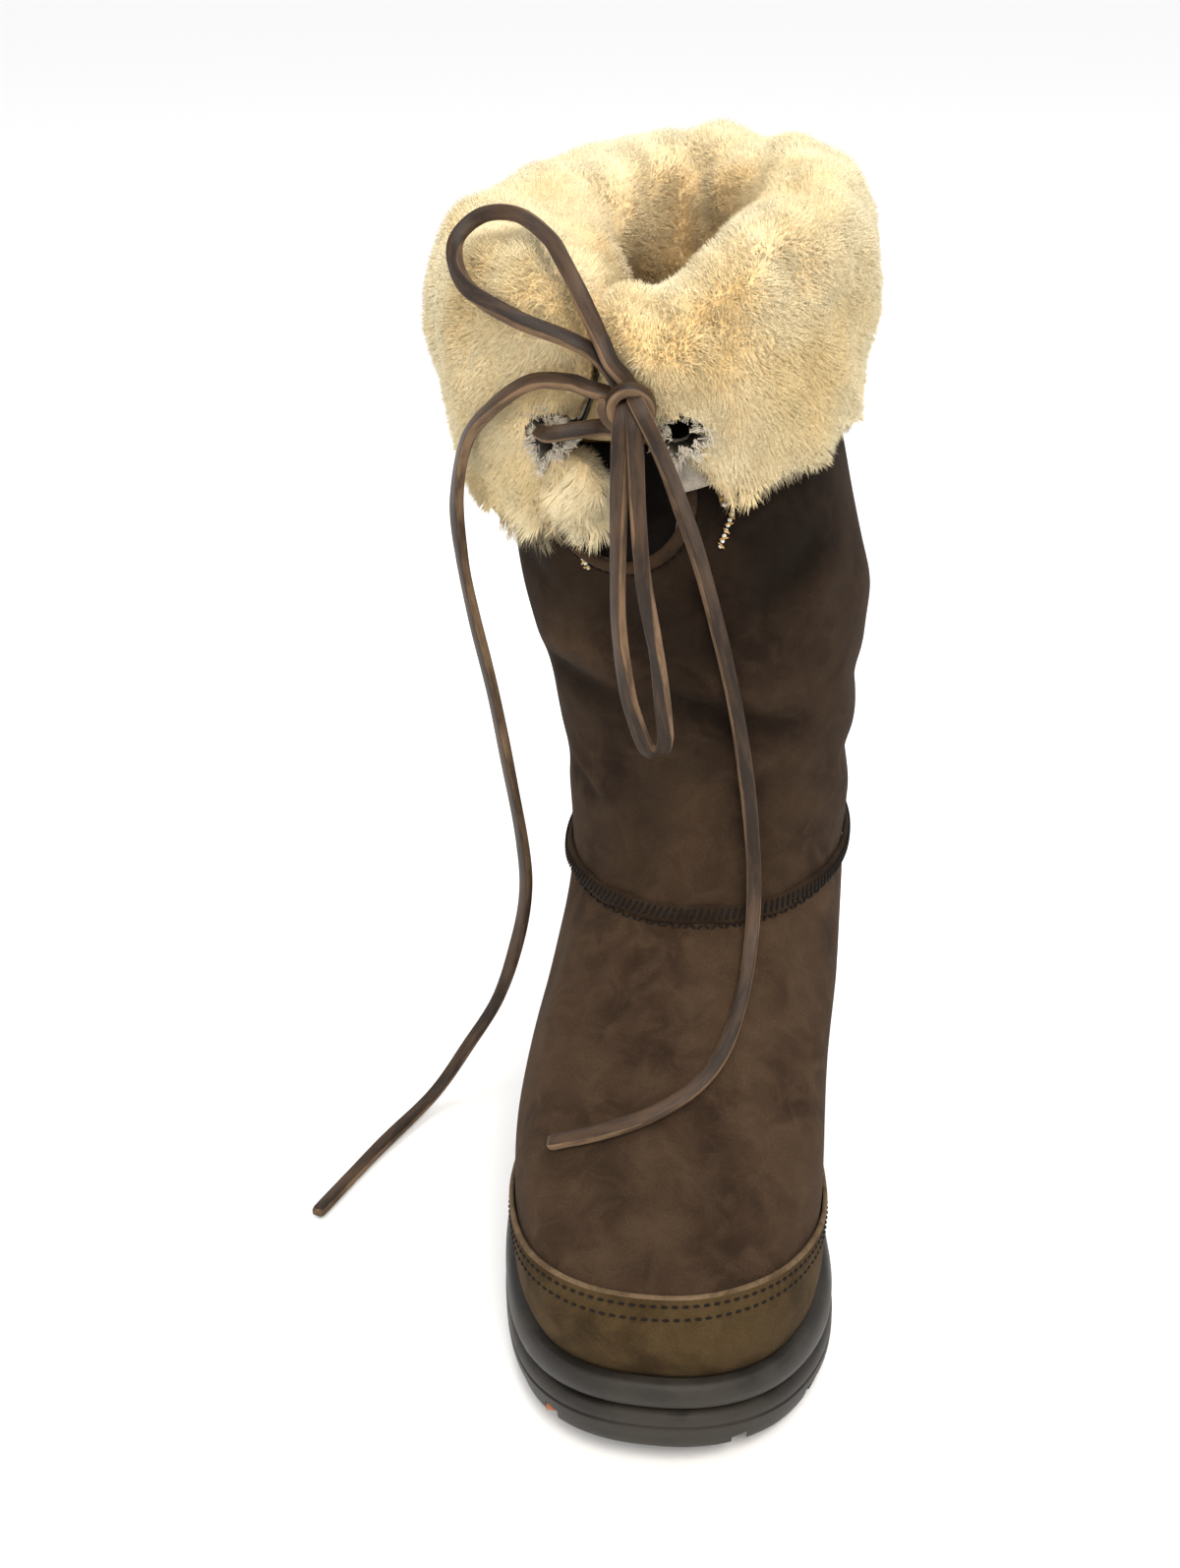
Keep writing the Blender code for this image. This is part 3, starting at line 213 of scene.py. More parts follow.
UP = np.array([0.0, 0.0, 1.0])
ASIDE = np.array([1.0, 0.0, 0.0])


def half_turn(turn):
    """The same turn between -180 and 180 degrees."""
    return (turn + 180.0) % 360.0 - 180.0


def run_along(line):
    """How far along a line each of its points lies."""
    return np.concatenate([[0.0], np.cumsum(np.linalg.norm(np.diff(line, axis=0), axis=1))])


def halved(low, high, is_below, times=30):
    """Where is_below stops being true between two bounds, found by halving."""
    for _ in range(times):
        middle = (low + high) / 2
        below = is_below(middle)
        low, high = np.where(below, middle, low), np.where(below, high, middle)
    return middle


def sole_height(along, at_ball, at_heel):
    heel = smooth_value(SOLE_LINE, "heel", along)
    spring = smooth_value(SOLE_LINE, "spring", along)
    return at_ball + heel * (at_heel - at_ball) + spring * TOE_SPRING


def tread_height(along):
    spring, arch = (smooth_value(SOLE_LINE, key, along) for key in ("spring", "arch"))
    return spring * TOE_SPRING + arch * ARCH_RISE


def footbed_height(along):
    return sole_height(along, BALL_STACK, HEEL_STACK)


def outsole_top(along):
    return sole_height(along, OUTSOLE_AT_BALL, OUTSOLE_AT_HEEL)


def plan_point(turn, back, front, wide, half, nose, heel, waist):
    """(across, along) of a flat oval at a turn, with the foot's waist and the inward swing of the toes."""
    c, s = np.cos(np.radians(turn)), np.sin(np.radians(turn))
    square = np.where(c > 0, nose, heel)
    reach = np.where(c > 0, front - wide, wide - back)
    along = (wide + reach * np.sign(c) * np.abs(c) ** (2 / square)) / SOLE_LENGTH
    across = half * np.sign(s) * np.abs(s) ** (2 / square)
    pinch = np.where(s > 0, INNER_WAIST, OUTER_WAIST)
    across = across * (1 - waist * pinch * bump(along, 0.40, 0.15))
    lying = np.maximum(waist, 0.0) ** 0.5
    along = along + lying * BALL_SKEW / SOLE_LENGTH * across / (BALL_WIDTH / 2) * bump(along, 0.66, 0.16)
    across = across + lying * TOE_SWING * (ease((along - 0.55) / 0.45) - 0.45 * bump(along, 0.55, 0.18))
    return across, along


def sole_point(turn, inset, height_of):
    across, along = plan_point(
        turn, inset, SOLE_LENGTH - inset, WIDEST_AT * SOLE_LENGTH, BALL_WIDTH / 2 - inset,
        TOE_SQUARE, HEEL_SQUARE, 1.0,
    )
    return np.stack([across, HEEL_Y - along * SOLE_LENGTH, height_of(along)], -1) + MODEL_SHIFT


def upper_sections():
    foot_bottom = BALL_STACK + 0.6 * (HEEL_STACK - BALL_STACK)
    rows = []
    for row in FOOT_SECTIONS:
        sizes = {key: row[key] * SOLE_LENGTH for key in ("back", "front", "wide")}
        shape = {key: row[key] for key in ("nose", "heel", "waist")}
        z = foot_bottom + row["height"] * (INSTEP_HEIGHT - foot_bottom)
        rows.append({"z": z, **sizes, "half": row["half"] * BALL_WIDTH, **shape})
    for row in SHAFT_SECTIONS:
        rows.append(
            {
                "z": INSTEP_HEIGHT + row["height"] * (COLLAR_HEIGHT - INSTEP_HEIGHT),
                "back": SHAFT_AXIS - row["back"] * SHAFT_DEPTH,
                "front": SHAFT_AXIS + row["front"] * SHAFT_DEPTH,
                "wide": SHAFT_AXIS,
                "half": row["half"] * SHAFT_WIDTH,
                "nose": 2.1,
                "heel": 2.1,
                "waist": 0.0,
            }
        )
    return rows


SECTIONS = upper_sections()
FOOT_BOTTOM = SECTIONS[0]["z"]


def upper_point(turn, height):
    """Point on the outside of the suede at a turn and a section's height."""
    turn, height = np.broadcast_arrays(np.asarray(turn, float), np.asarray(height, float))
    sizes = {key: smooth_value(SECTIONS, key, height) for key in SECTIONS[0] if key != "z"}
    across, along = plan_point(turn, **sizes)
    lying = 1 - ease((height - FOOT_BOTTOM) / (0.75 * (INSTEP_HEIGHT - FOOT_BOTTOM)))
    z = height + lying * (footbed_height(along) + GAP - FOOT_BOTTOM)
    risen = ease((height - INSTEP_HEIGHT) / (COLLAR_HEIGHT - INSTEP_HEIGHT)) ** 1.5
    z = z + risen * COLLAR_TIP * np.cos(np.radians(turn - COLLAR_TIP_TURN))
    ahead = along * SOLE_LENGTH - SHAFT_AXIS
    twist = np.radians(risen * COLLAR_TWIST)
    x = across * np.cos(twist) - ahead * np.sin(twist) + risen * COLLAR_LEAN
    ahead = across * np.sin(twist) + ahead * np.cos(twist)
    return np.stack([x, HEEL_Y - SHAFT_AXIS - ahead, z], -1) + MODEL_SHIFT


def upper_normal(turn, height):
    low = np.maximum(np.asarray(height, float) - 0.001, FOOT_BOTTOM)
    around = upper_point(np.asarray(turn) + 1.0, height) - upper_point(np.asarray(turn) - 1.0, height)
    up = upper_point(turn, np.asarray(height) + 0.001) - upper_point(turn, low)
    return unit(np.cross(around, up))


def on_upper(turn, height, out):
    """Point a distance out from the suede, or in from it if out is negative."""
    out = np.asarray(out, float)[..., None]
    return upper_point(turn, height) + out * upper_normal(turn, height)


def beside_collar(turn, rise, out):
    """Point beside the collar: rise is its height above the edge, out its distance from the suede."""
    turn, rise, out = np.broadcast_arrays(*(np.asarray(v, float) for v in (turn, rise, out)))
    height = COLLAR_HEIGHT + np.minimum(rise, 0.0)
    flat = upper_normal(turn, height) * np.array([1.0, 1.0, 0.0])
    up = np.stack([rise * 0, rise * 0, np.maximum(rise, 0.0)], -1)
    return upper_point(turn, height) + out[..., None] * unit(flat) + up


def cuff_drop(turn):
    return CUFF_DROP + CUFF_SAG * 0.5 * (1 + np.cos(np.radians(np.asarray(turn) - CUFF_SAG_TURN)))


def fold_row(turn, radius, angle):
    """Point on the turned-over collar: angle 0 is the shaft's side, 180 the outside."""
    a = np.radians(angle)
    return beside_collar(turn, radius * np.sin(a), FOLD_GAP / 2 - radius * np.cos(a))


def skin_gap(share):
    return FOLD_GAP + (HEM_GAP - FOLD_GAP) * share


def throat_bearing():
    """Level direction out of the throat, and the direction to its inner side."""
    out = upper_normal(THROAT_TURN, COLLAR_HEIGHT) * np.array([1.0, 1.0, 0.0])
    out = unit(out)
    return out, np.array([-out[1], out[0], 0.0])


def throat_place(across, drop):
    """Turn on the shaft that lies a distance across from the throat's middle, at a drop below the collar."""
    across, drop = np.broadcast_arrays(np.asarray(across, float), np.asarray(drop, float))
    side = throat_bearing()[1]
    middle = upper_point(THROAT_TURN, COLLAR_HEIGHT)
    low, high = np.full(across.shape, THROAT_TURN - 80.0), np.full(across.shape, THROAT_TURN + 80.0)
    return halved(low, high, lambda turn: (upper_point(turn, COLLAR_HEIGHT - drop) - middle) @ side < across)


# Routes of the thong, in millimetres from the middle of the knot: across to the inner side, back, up.
BAR_ROUTE = (
    (-30.5, 13.2, -12.5), (-26.0, 7.4, -11.5), (-18.5, 8.8, -10.5), (-9.5, 11.2, -9.6), (-1.5, 9.4, -10.5),
    (4.0, 13.0, -11.5),
)
UPPER_LOOP_ROUTE = (
    (0.4, 2.4, 1.5), (-1.4, 2.9, 7.2), (-5.4, 1.6, 12.6), (-8.9, 4.2, 18.9), (-15.7, 6.6, 32.2),
    (-21.2, 11.8, 39.9), (-26.7, 18.8, 44.8), (-39.3, 34.6, 48.0), (-52.2, 40.7, 46.2),
    (-59.2, 34.4, 38.8), (-53.5, 23.0, 28.7),
    (-35.2, 7.4, 23.4), (-18.8, 3.4, 18.8), (-10.8, 4.8, 14.2), (-6.2, 5.4, 9.0), (-2.8, 4.8, 3.0),
)
LOWER_LOOP_ROUTE = (
    (-1.2, 0.4, 1.5), (-2.0, -3.6, -4.0), (-2.3, -4.4, -13.0), (-3.2, -2.8, -34.0), (-4.2, -0.4, -67.0),
    (-2.0, 0.8, -92.0), (1.2, 1.2, -105.0), (2.7, 1.3, -109.6), (4.3, 1.3, -112.6), (6.8, 1.2, -113.7),
    (9.2, 0.8, -112.2), (10.2, 0.4, -109.0), (10.1, 0.0, -103.0), (8.2, -2.0, -79.0),
    (4.7, -4.0, -55.0), (3.3, -5.2, -33.0), (2.9, -6.2, -14.0),
    (2.5, -5.2, -4.5), (1.3, -0.8, 1.5),
)
# The outer end: across, back, and height as a share of the knot's own height above the floor.
OUTER_END_ROUTE = (
    (-2.4, 4.4, 1.002), (-7.6, 4.4, 1.008), (-13.5, 4.4, 1.013), (-19.0, 6.5, 1.016), (-31.0, 7.0, 1.014),
    (-43.5, 11.0, 0.986), (-56.0, 23.5, 0.938), (-65.0, 41.0, 0.858), (-66.5, 49.0, 0.784),
    (-65.0, 55.0, 0.709), (-61.0, 61.0, 0.607), (-58.0, 67.0, 0.499), (-56.0, 74.0, 0.396),
    (-57.0, 80.0, 0.318), (-62.5, 85.0, 0.236), (-72.0, 87.0, 0.145), (-84.5, 83.0, 0.077),
    (-97.0, 70.0, 0.024), (-111.0, 38.0, 0.000), (-123.0, -4.0, 0.000),
)
# The inner end falls from the knot and then lies on the suede: turn, level (1 the instep seam, 2 the
# collar), and how much of the seam's height it climbs.
INNER_END_FALL = (
    (1.6, -1.0, 3.4), (4.4, -5.0, 0.2), (8.2, -5.2, -7.6), (11.4, 0.2, -18.6), (14.4, 11.0, -35.0),
    (18.4, 19.0, -53.0),
)
INNER_END_LYING = (
    (16.4, 1.505, 0.0), (17.7, 1.374, 0.0), (19.7, 1.252, 0.0), (22.2, 1.131, 0.5), (24.2, 1.030, 1.0),
    (25.9, 0.909, 0.3), (24.8, 0.797, 0.0), (20.2, 0.698, 0.0), (12.0, 0.639, 0.0), (0.0, 0.595, 0.0),
    (-15.7, 0.550, 0.0), (-38.0, 0.482, 0.0),
)


def knot_middle():
    across = np.array([KNOT_ACROSS, 0.0, 0.0])
    return beside_collar(THROAT_TURN, -KNOT_DROP, KNOT_OUT) + across


def from_knot(route):
    return knot_middle() + np.array(route) / 1000


def smooth_route(points, spacing):
    """Evenly spaced points on one smooth curve through a route's points."""
    points = np.asarray(points, float)
    ends = np.vstack([2 * points[0] - points[1], points, 2 * points[-1] - points[-2]])
    t = np.linspace(0, 1, 24, endpoint=False)[:, None]
    fine = []
    for before, start, end, after in zip(ends, ends[1:], ends[2:], ends[3:]):
        fine.append(
            0.5 * (
                2 * start
                + (end - before) * t
                + (2 * before - 5 * start + 4 * end - after) * t**2
                + (3 * start - before - 3 * end + after) * t**3
            )
        )
    fine = np.vstack([*fine, points[-1:]])
    run = run_along(fine)
    count = max(4, round(run[-1] / spacing))
    at = np.linspace(0, run[-1], count + 1)
    return np.stack([np.interp(at, run, fine[:, k]) for k in range(3)], -1)


def run_of(points):
    return float(np.linalg.norm(np.diff(points, axis=0), axis=1).sum())


def inner_end_route():
    fall = from_knot(INNER_END_FALL)
    lying = []
    for turn, level, over in INNER_END_LYING:
        if level > 1:
            height = INSTEP_HEIGHT + (level - 1) * (COLLAR_HEIGHT - INSTEP_HEIGHT)
        else:
            height = FOOT_BOTTOM + level * (INSTEP_HEIGHT - FOOT_BOTTOM)
        lying.append(on_upper(turn, height, LACE_RADIUS + 0.0009 + over * SEAM_PROUD))
    return np.vstack([fall, lying])


def outer_end_route():
    middle = knot_middle()
    floor = LACE_RADIUS + 0.0008
    rows = np.array(OUTER_END_ROUTE)
    x = middle[0] + rows[:, 0] / 1000
    y = middle[1] + rows[:, 1] / 1000
    return np.stack([x, y, np.maximum(floor, rows[:, 2] * middle[2])], -1)


def knot_route():
    """The strap that holds the bow: it winds on itself in a ring that faces out and a little down."""
    share = np.linspace(0, 1, 41)[:, None]
    facing = unit(np.array(KNOT_FACES))
    aside = unit(np.cross(facing, (0.0, 0.0, -1.0)))
    above = np.cross(facing, aside)
    a = KNOT_START + 2 * math.pi * KNOT_TURNS * share
    radius = KNOT_RADIUS + KNOT_GROWS * KNOT_TURNS * (share - 0.5)
    back = KNOT_PITCH * KNOT_TURNS * (share - 0.5)
    return knot_middle() + radius * (np.sin(a) * aside + np.cos(a) * above) - back * facing


def linear(hex_colour):
    """An sRGB hex colour as the linear RGBA that the shaders take."""
    parts = [int(hex_colour[k : k + 2], 16) / 255 for k in (1, 3, 5)]
    return (*[p / 12.92 if p <= 0.04045 else ((p + 0.055) / 1.055) ** 2.4 for p in parts], 1.0)


def add_node(tree, kind, values=None, links=None, stops=(), **settings):
    """Adds one node: settings are its own properties, values its sockets' numbers, links what feeds them, and
    stops a ramp's two places with their hex colours."""
    made = tree.nodes.new(kind)
    for number, (place, colour) in enumerate(stops):
        made.color_ramp.interpolation = "EASE"
        made.color_ramp.elements[number].position = place
        made.color_ramp.elements[number].color = linear(colour)
    for key, value in settings.items():
        setattr(made, key, value)
    for socket, value in (values or {}).items():
        made.inputs[socket].default_value = value
    for socket, source in (links or {}).items():
        tree.links.new(source, made.inputs[socket])
    return made


def start_material(name, **surface_values):
    """A new material: its tree, its Principled shader and its Object coordinates."""
    material = bpy.data.materials.new(name)
    material.use_nodes = True
    tree = material.node_tree
    surface = tree.nodes["Principled BSDF"]
    for socket, value in surface_values.items():
        surface.inputs[socket.replace("_", " ")].default_value = value
    place = add_node(tree, "ShaderNodeTexCoord").outputs["Object"]
    return material, tree, surface, place


def finish_surface(tree, surface, colour, height, strength, distance):
    """Gives the shader its colour and a fine relief from a height."""
    tree.links.new(colour, surface.inputs["Base Color"])
    sizes = {"Strength": strength, "Distance": distance}
    relief = add_node(tree, "ShaderNodeBump", sizes, {"Height": height})
    tree.links.new(relief.outputs["Normal"], surface.inputs["Normal"])


def suede(name, deep, mid, high, patch=0.045):
    """Suede is a hide buffed on its flesh side. The nap is matt, lies lighter and darker in hand-sized and
    finger-sized patches where it is stroked, and glows a little at a glancing angle."""
    material, tree, surface, place = start_material(
        name, Roughness=0.95, Specular_IOR_Level=0.10, Sheen_Weight=0.05, Sheen_Roughness=0.45
    )
    surface.inputs["Sheen Tint"].default_value = linear("#a58a6c")
    broad = add_node(
        tree, "ShaderNodeTexNoise", {"Scale": 1 / patch, "Detail": 4.0, "Roughness": 0.55, "Distortion": 0.6},
        {"Vector": place},
    ).outputs["Fac"]
    finger = add_node(
        tree, "ShaderNodeTexNoise", {"Scale": 1 / 0.012, "Detail": 3.0, "Roughness": 0.6, "Distortion": 0.9},
        {"Vector": place},
    ).outputs["Fac"]
    # The real nap is 0.2 mm apart, too fine to show, so it is drawn 0.5 mm apart.
    nap = add_node(
        tree, "ShaderNodeTexNoise", {"Scale": 1 / 0.0005, "Detail": 2.0, "Roughness": 0.7}, {"Vector": place}
    ).outputs["Fac"]
    base = add_node(
        tree, "ShaderNodeValToRGB", links={"Fac": broad}, stops=((0.34, deep), (0.60, mid))
    ).outputs["Color"]
    lift = add_node(
        tree, "ShaderNodeMapRange", {"From Min": 0.42, "From Max": 0.75, "To Max": 0.65}, {"Value": finger}
    ).outputs["Result"]
    mixed = add_node(
        tree, "ShaderNodeMix", {7: linear(high)}, {0: lift, 6: base}, data_type="RGBA"
    ).outputs[2]
    grain = add_node(
        tree, "ShaderNodeMapRange", {"From Min": 0.3, "From Max": 0.7, "To Min": 0.76, "To Max": 1.22},
        {"Value": nap},
    ).outputs["Result"]
    # The shade attribute scales the colour: stains, and painted light and shade laid on the hide, the seam and
    # the lace holes.
    shade = add_node(tree, "ShaderNodeAttribute", attribute_name="shade").outputs["Fac"]
    dim = add_node(
        tree, "ShaderNodeMapRange", {"From Min": -1.0, "From Max": 1.0, "To Min": 0.16, "To Max": 1.84},
        {"Value": shade},
    ).outputs["Result"]
    both = add_node(tree, "ShaderNodeMath", links={0: grain, 1: dim}, operation="MULTIPLY").outputs[0]
    final = add_node(
        tree, "ShaderNodeVectorMath", links={0: mixed, "Scale": both}, operation="SCALE"
    ).outputs[0]
    rise = add_node(
        tree, "ShaderNodeMath", {1: 0.35}, {0: finger, 2: nap}, operation="MULTIPLY_ADD"
    ).outputs[0]
    finish_surface(tree, surface, final, rise, 0.55, 0.00045)
    return material


def shearling(name, root, deep, tip, warm):
    """Shearling is sheepskin with its wool sheared level. The fibres are cream at the tip and yellow to tan
    near the skin, matt, with warmer stains in patches."""
    material, tree, surface, place = start_material(
        name, Roughness=0.85, Specular_IOR_Level=0.15, Sheen_Weight=0.25, Sheen_Roughness=0.6
    )
    surface.inputs["Sheen Tint"].default_value = linear("#fff0cf")
    up = add_node(tree, "ShaderNodeAttribute", attribute_name="tip").outputs["Fac"]
    own = add_node(tree, "ShaderNodeAttribute", attribute_name="own_tone").outputs["Fac"]
    stain = add_node(
        tree, "ShaderNodeTexNoise", {"Scale": 1 / 0.034, "Detail": 1.5, "Roughness": 0.45, "Distortion": 0.3},
        {"Vector": place},
    ).outputs["Fac"]
    tips = add_node(
        tree, "ShaderNodeValToRGB", links={"Fac": stain}, stops=((0.28, warm), (0.66, tip))
    ).outputs["Color"]
    roots = add_node(
        tree, "ShaderNodeValToRGB", links={"Fac": stain}, stops=((0.30, root), (0.70, deep))
    ).outputs["Color"]
    wool = add_node(tree, "ShaderNodeMix", links={0: up, 6: roots, 7: tips}, data_type="RGBA").outputs[2]
    tone = add_node(
        tree, "ShaderNodeMapRange", {"To Min": 0.93, "To Max": 1.05}, {"Value": own}
    ).outputs["Result"]
    final = add_node(
        tree, "ShaderNodeVectorMath", links={0: wool, "Scale": tone}, operation="SCALE"
    ).outputs[0]
    curl = add_node(
        tree, "ShaderNodeTexNoise", {"Scale": 1 / 0.0022, "Detail": 2.0, "Roughness": 0.6, "Distortion": 1.0},
        {"Vector": place},
    ).outputs["Fac"]
    finish_surface(tree, surface, final, curl, 0.5, 0.0008)
    return material


def sole_rubber(name, dark, light, roughness):
    """Moulded rubber: satin, with a fine moulded grain, dust in its low places and scuffs."""
    material, tree, surface, place = start_material(name, Roughness=roughness, Specular_IOR_Level=0.22)
    worn = add_node(
        tree, "ShaderNodeTexNoise", {"Scale": 1 / 0.025, "Detail": 5.0, "Roughness": 0.6}, {"Vector": place}
    ).outputs["Fac"]
    colour = add_node(
        tree, "ShaderNodeValToRGB", links={"Fac": worn}, stops=((0.36, dark), (0.66, light))
    ).outputs["Color"]
    matt = add_node(
        tree, "ShaderNodeMapRange",
        {"From Min": 0.3, "From Max": 0.7, "To Min": roughness - 0.10, "To Max": roughness + 0.14},
        {"Value": worn},
    ).outputs["Result"]
    tree.links.new(matt, surface.inputs["Roughness"])
    grain = add_node(
        tree, "ShaderNodeTexNoise", {"Scale": 1 / 0.0006, "Detail": 2.0, "Roughness": 0.6}, {"Vector": place}
    ).outputs["Fac"]
    finish_surface(tree, surface, colour, grain, 0.25, 0.0002)
    return material


def thong_leather(name):
    """Thong cut from pull-up leather: its two faces are dark, waxed and smooth, and its cut edges show the
    paler fibres. The piece's own attribute says where the cut edges are."""
    material, tree, surface, place = start_material(name, Roughness=0.55, Specular_IOR_Level=0.22)
    lie = add_node(tree, "ShaderNodeAttribute", attribute_name="lie").outputs["Vector"]
    edge = add_node(tree, "ShaderNodeAttribute", attribute_name="cut_edge").outputs["Fac"]
    streak = add_node(
        tree, "ShaderNodeTexNoise", {"Scale": 1 / 0.004, "Detail": 4.0, "Roughness": 0.65}, {"Vector": lie}
    ).outputs["Fac"]
    face = add_node(
        tree, "ShaderNodeValToRGB", links={"Fac": streak}, stops=((0.35, "#1f150c"), (0.70, "#423020"))
    ).outputs["Color"]
    raw = add_node(
        tree, "ShaderNodeValToRGB", links={"Fac": streak}, stops=((0.35, "#46372a"), (0.65, "#735c45"))
    ).outputs["Color"]
    blur = add_node(
        tree, "ShaderNodeMath", {1: 0.35}, {0: streak, 2: edge}, operation="MULTIPLY_ADD"
    ).outputs[0]
    mask = add_node(
        tree, "ShaderNodeMapRange", {"From Min": 0.78, "From Max": 1.05}, {"Value": blur}
    ).outputs["Result"]
    final = add_node(tree, "ShaderNodeMix", links={0: mask, 6: face, 7: raw}, data_type="RGBA").outputs[2]
    rough = add_node(
        tree, "ShaderNodeMapRange", {"To Min": 0.46, "To Max": 0.88}, {"Value": mask}
    ).outputs["Result"]
    tree.links.new(rough, surface.inputs["Roughness"])
    grain = add_node(
        tree, "ShaderNodeTexNoise", {"Scale": 1 / 0.0007, "Detail": 3.0, "Roughness": 0.7}, {"Vector": place}
    ).outputs["Fac"]
    finish_surface(tree, surface, final, grain, 0.4, 0.00025)
    return material


def plain_thread(name, dark, light, roughness=0.7):
    """Bonded polyester thread: twisted, a little shiny, with the twist as fine slanting light and shade."""
    material, tree, surface, place = start_material(name, Roughness=roughness, Specular_IOR_Level=0.2)
    twist = add_node(
        tree, "ShaderNodeTexNoise", {"Scale": 1 / 0.0006, "Detail": 1.0}, {"Vector": place}
    ).outputs["Fac"]
    colour = add_node(
        tree, "ShaderNodeValToRGB", links={"Fac": twist}, stops=((0.3, dark), (0.7, light))
    ).outputs["Color"]
    tree.links.new(colour, surface.inputs["Base Color"])
    return material


def woven_ribbon(name):
    """Jacquard ribbon: gold and brown weft over a dark warp, woven about six picks to 3 mm. The piece's own
    attribute gives the place along and across the ribbon in metres."""
    material, tree, surface, _ = start_material(name, Roughness=0.6, Specular_IOR_Level=0.4, Sheen_Weight=0.2)
    lie = add_node(tree, "ShaderNodeAttribute", attribute_name="lie").outputs["Vector"]
    apart = add_node(tree, "ShaderNodeSeparateXYZ", links={0: lie})
    picks = add_node(
        tree, "ShaderNodeMath", {1: 2 * math.pi / 0.0009}, {0: apart.outputs[0]}, operation="MULTIPLY"
    ).outputs[0]
    warps = add_node(
        tree, "ShaderNodeMath", {1: 2 * math.pi / 0.0008}, {0: apart.outputs[1]}, operation="MULTIPLY"
    ).outputs[0]
    over = add_node(tree, "ShaderNodeMath", links={0: picks}, operation="SINE").outputs[0]
    under = add_node(tree, "ShaderNodeMath", links={0: warps}, operation="SINE").outputs[0]
    weave = add_node(tree, "ShaderNodeMath", links={0: over, 1: under}, operation="MULTIPLY").outputs[0]
    level = add_node(
        tree, "ShaderNodeMapRange", {"From Min": -1.0, "From Max": 1.0}, {"Value": weave}
    ).outputs["Result"]
    colour = add_node(
        tree, "ShaderNodeValToRGB", links={"Fac": level}, stops=((0.25, "#2c1d10"), (0.8, "#8a6330"))
    ).outputs["Color"]
    finish_surface(tree, surface, colour, level, 0.6, 0.0003)
    return material


brown_suede = suede("brown_suede", "#281c13", "#382a1e", "#443527")
olive_suede = suede("olive_suede", "#2a1f10", "#3b2e1b", "#473823", 0.030)
# The gusset's suede is painted near black, darker than its own dark brown: painted shade in the hollow behind
# the throat.
black_suede = suede("black_suede", "#0c0908", "#171210", "#211a16")
cut_suede_edge = suede("cut_suede_edge", "#473828", "#5a4936", "#6b5a45", 0.006)
skin_side = suede("skin_side", "#7d766b", "#989084", "#b0a89a", 0.012)
cream_wool = shearling("cream_wool", "#b58a50", "#d2ab70", "#fcefc8", "#f6dfa9")
grey_wool = shearling("grey_wool", "#857a68", "#a09684", "#d8d0bf", "#bdb3a0")
tan_wool = shearling("tan_wool", "#8a6538", "#a8834f", "#dcc392", "#c7a76d")
dark_rubber = sole_rubber("dark_rubber", "#1d1a16", "#2e2a24", 0.50)
tan_rubber = sole_rubber("tan_rubber", "#8a4f33", "#a96a49", 0.62)
waxed_thong = thong_leather("waxed_thong")
dark_thread = plain_thread("dark_thread", "#080504", "#16100b", 0.9)
white_thread = plain_thread("white_thread", "#b9b3a6", "#ece7da", 0.55)
gold_thread = plain_thread("gold_thread", "#7b5a2c", "#c9a765", 0.5)
gold_ribbon = woven_ribbon("gold_ribbon")


def new_object(name, data):
    made = bpy.data.objects.new(name, data)
    bpy.context.scene.collection.objects.link(made)
    return made


def apply_modifiers(piece):
    """Makes a piece's modifiers part of its mesh."""
    graph = bpy.context.evaluated_depsgraph_get()
    made = bpy.data.meshes.new_from_object(piece.evaluated_get(graph))
    piece.modifiers.clear()
    piece.data = made


def wool_tones(count, tip):
    """Attributes of a wool surface: how far up its fibres it lies, and a scattered tone for each point."""
    return {"tip": tip, "own_tone": (np.sin(np.arange(count) * 12.9898) * 43758.5453) % 1.0}


def add_mesh(name, points, faces, material, slot=None, replaced=(), attributes=None):
    """One piece of the boot from arrays of points and of faces, all with as many corners. An attribute is a
    number, or a value for each point."""
    points = np.asarray(points, float).reshape(-1, 3)
    faces = np.asarray(faces, int)
    mesh = bpy.data.meshes.new(name)
    mesh.vertices.add(len(points))
    mesh.vertices.foreach_set("co", points.ravel())
    mesh.loops.add(faces.size)
    mesh.loops.foreach_set("vertex_index", faces.ravel())
    mesh.polygons.add(len(faces))
    mesh.polygons.foreach_set("loop_start", np.arange(len(faces)) * faces.shape[1])
    for key, values in (attributes or {}).items():
        values = np.asarray(values, float)
        values = values if values.ndim else np.full(len(points), values)
        kind = "FLOAT_VECTOR" if values.ndim == 2 else "FLOAT"
        layer = mesh.attributes.new(key, kind, "POINT")
        layer.data.foreach_set("vector" if values.ndim == 2 else "value", values.ravel())
    mesh.update(calc_edges=True)
    mesh.validate()
    mesh.shade_smooth()
    piece = new_object(name, mesh)
    mesh.materials.append(material)
    declare(piece, slot, replaced)
    return piece


def declare(piece, slot=None, replaced=()):
    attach(piece, "root")
    if replaced:
        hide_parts(*replaced)


def triangles(quads):
    return np.vstack([quads[:, [0, 1, 2]], quads[:, [0, 2, 3]]])


def grid_faces(rows, columns, closed, first=0, flip=False):
    """Four-cornered faces of a grid of points, rows by columns."""
    r = np.arange(rows - 1)[:, None]
    c = np.arange(columns if closed else columns - 1)[None, :]
    d = (c + 1) % columns
    a, b = r * columns + c, r * columns + d
    faces = np.stack([a, b, b + columns, a + columns], -1).reshape(-1, 4) + first
    return faces[:, ::-1] if flip else faces


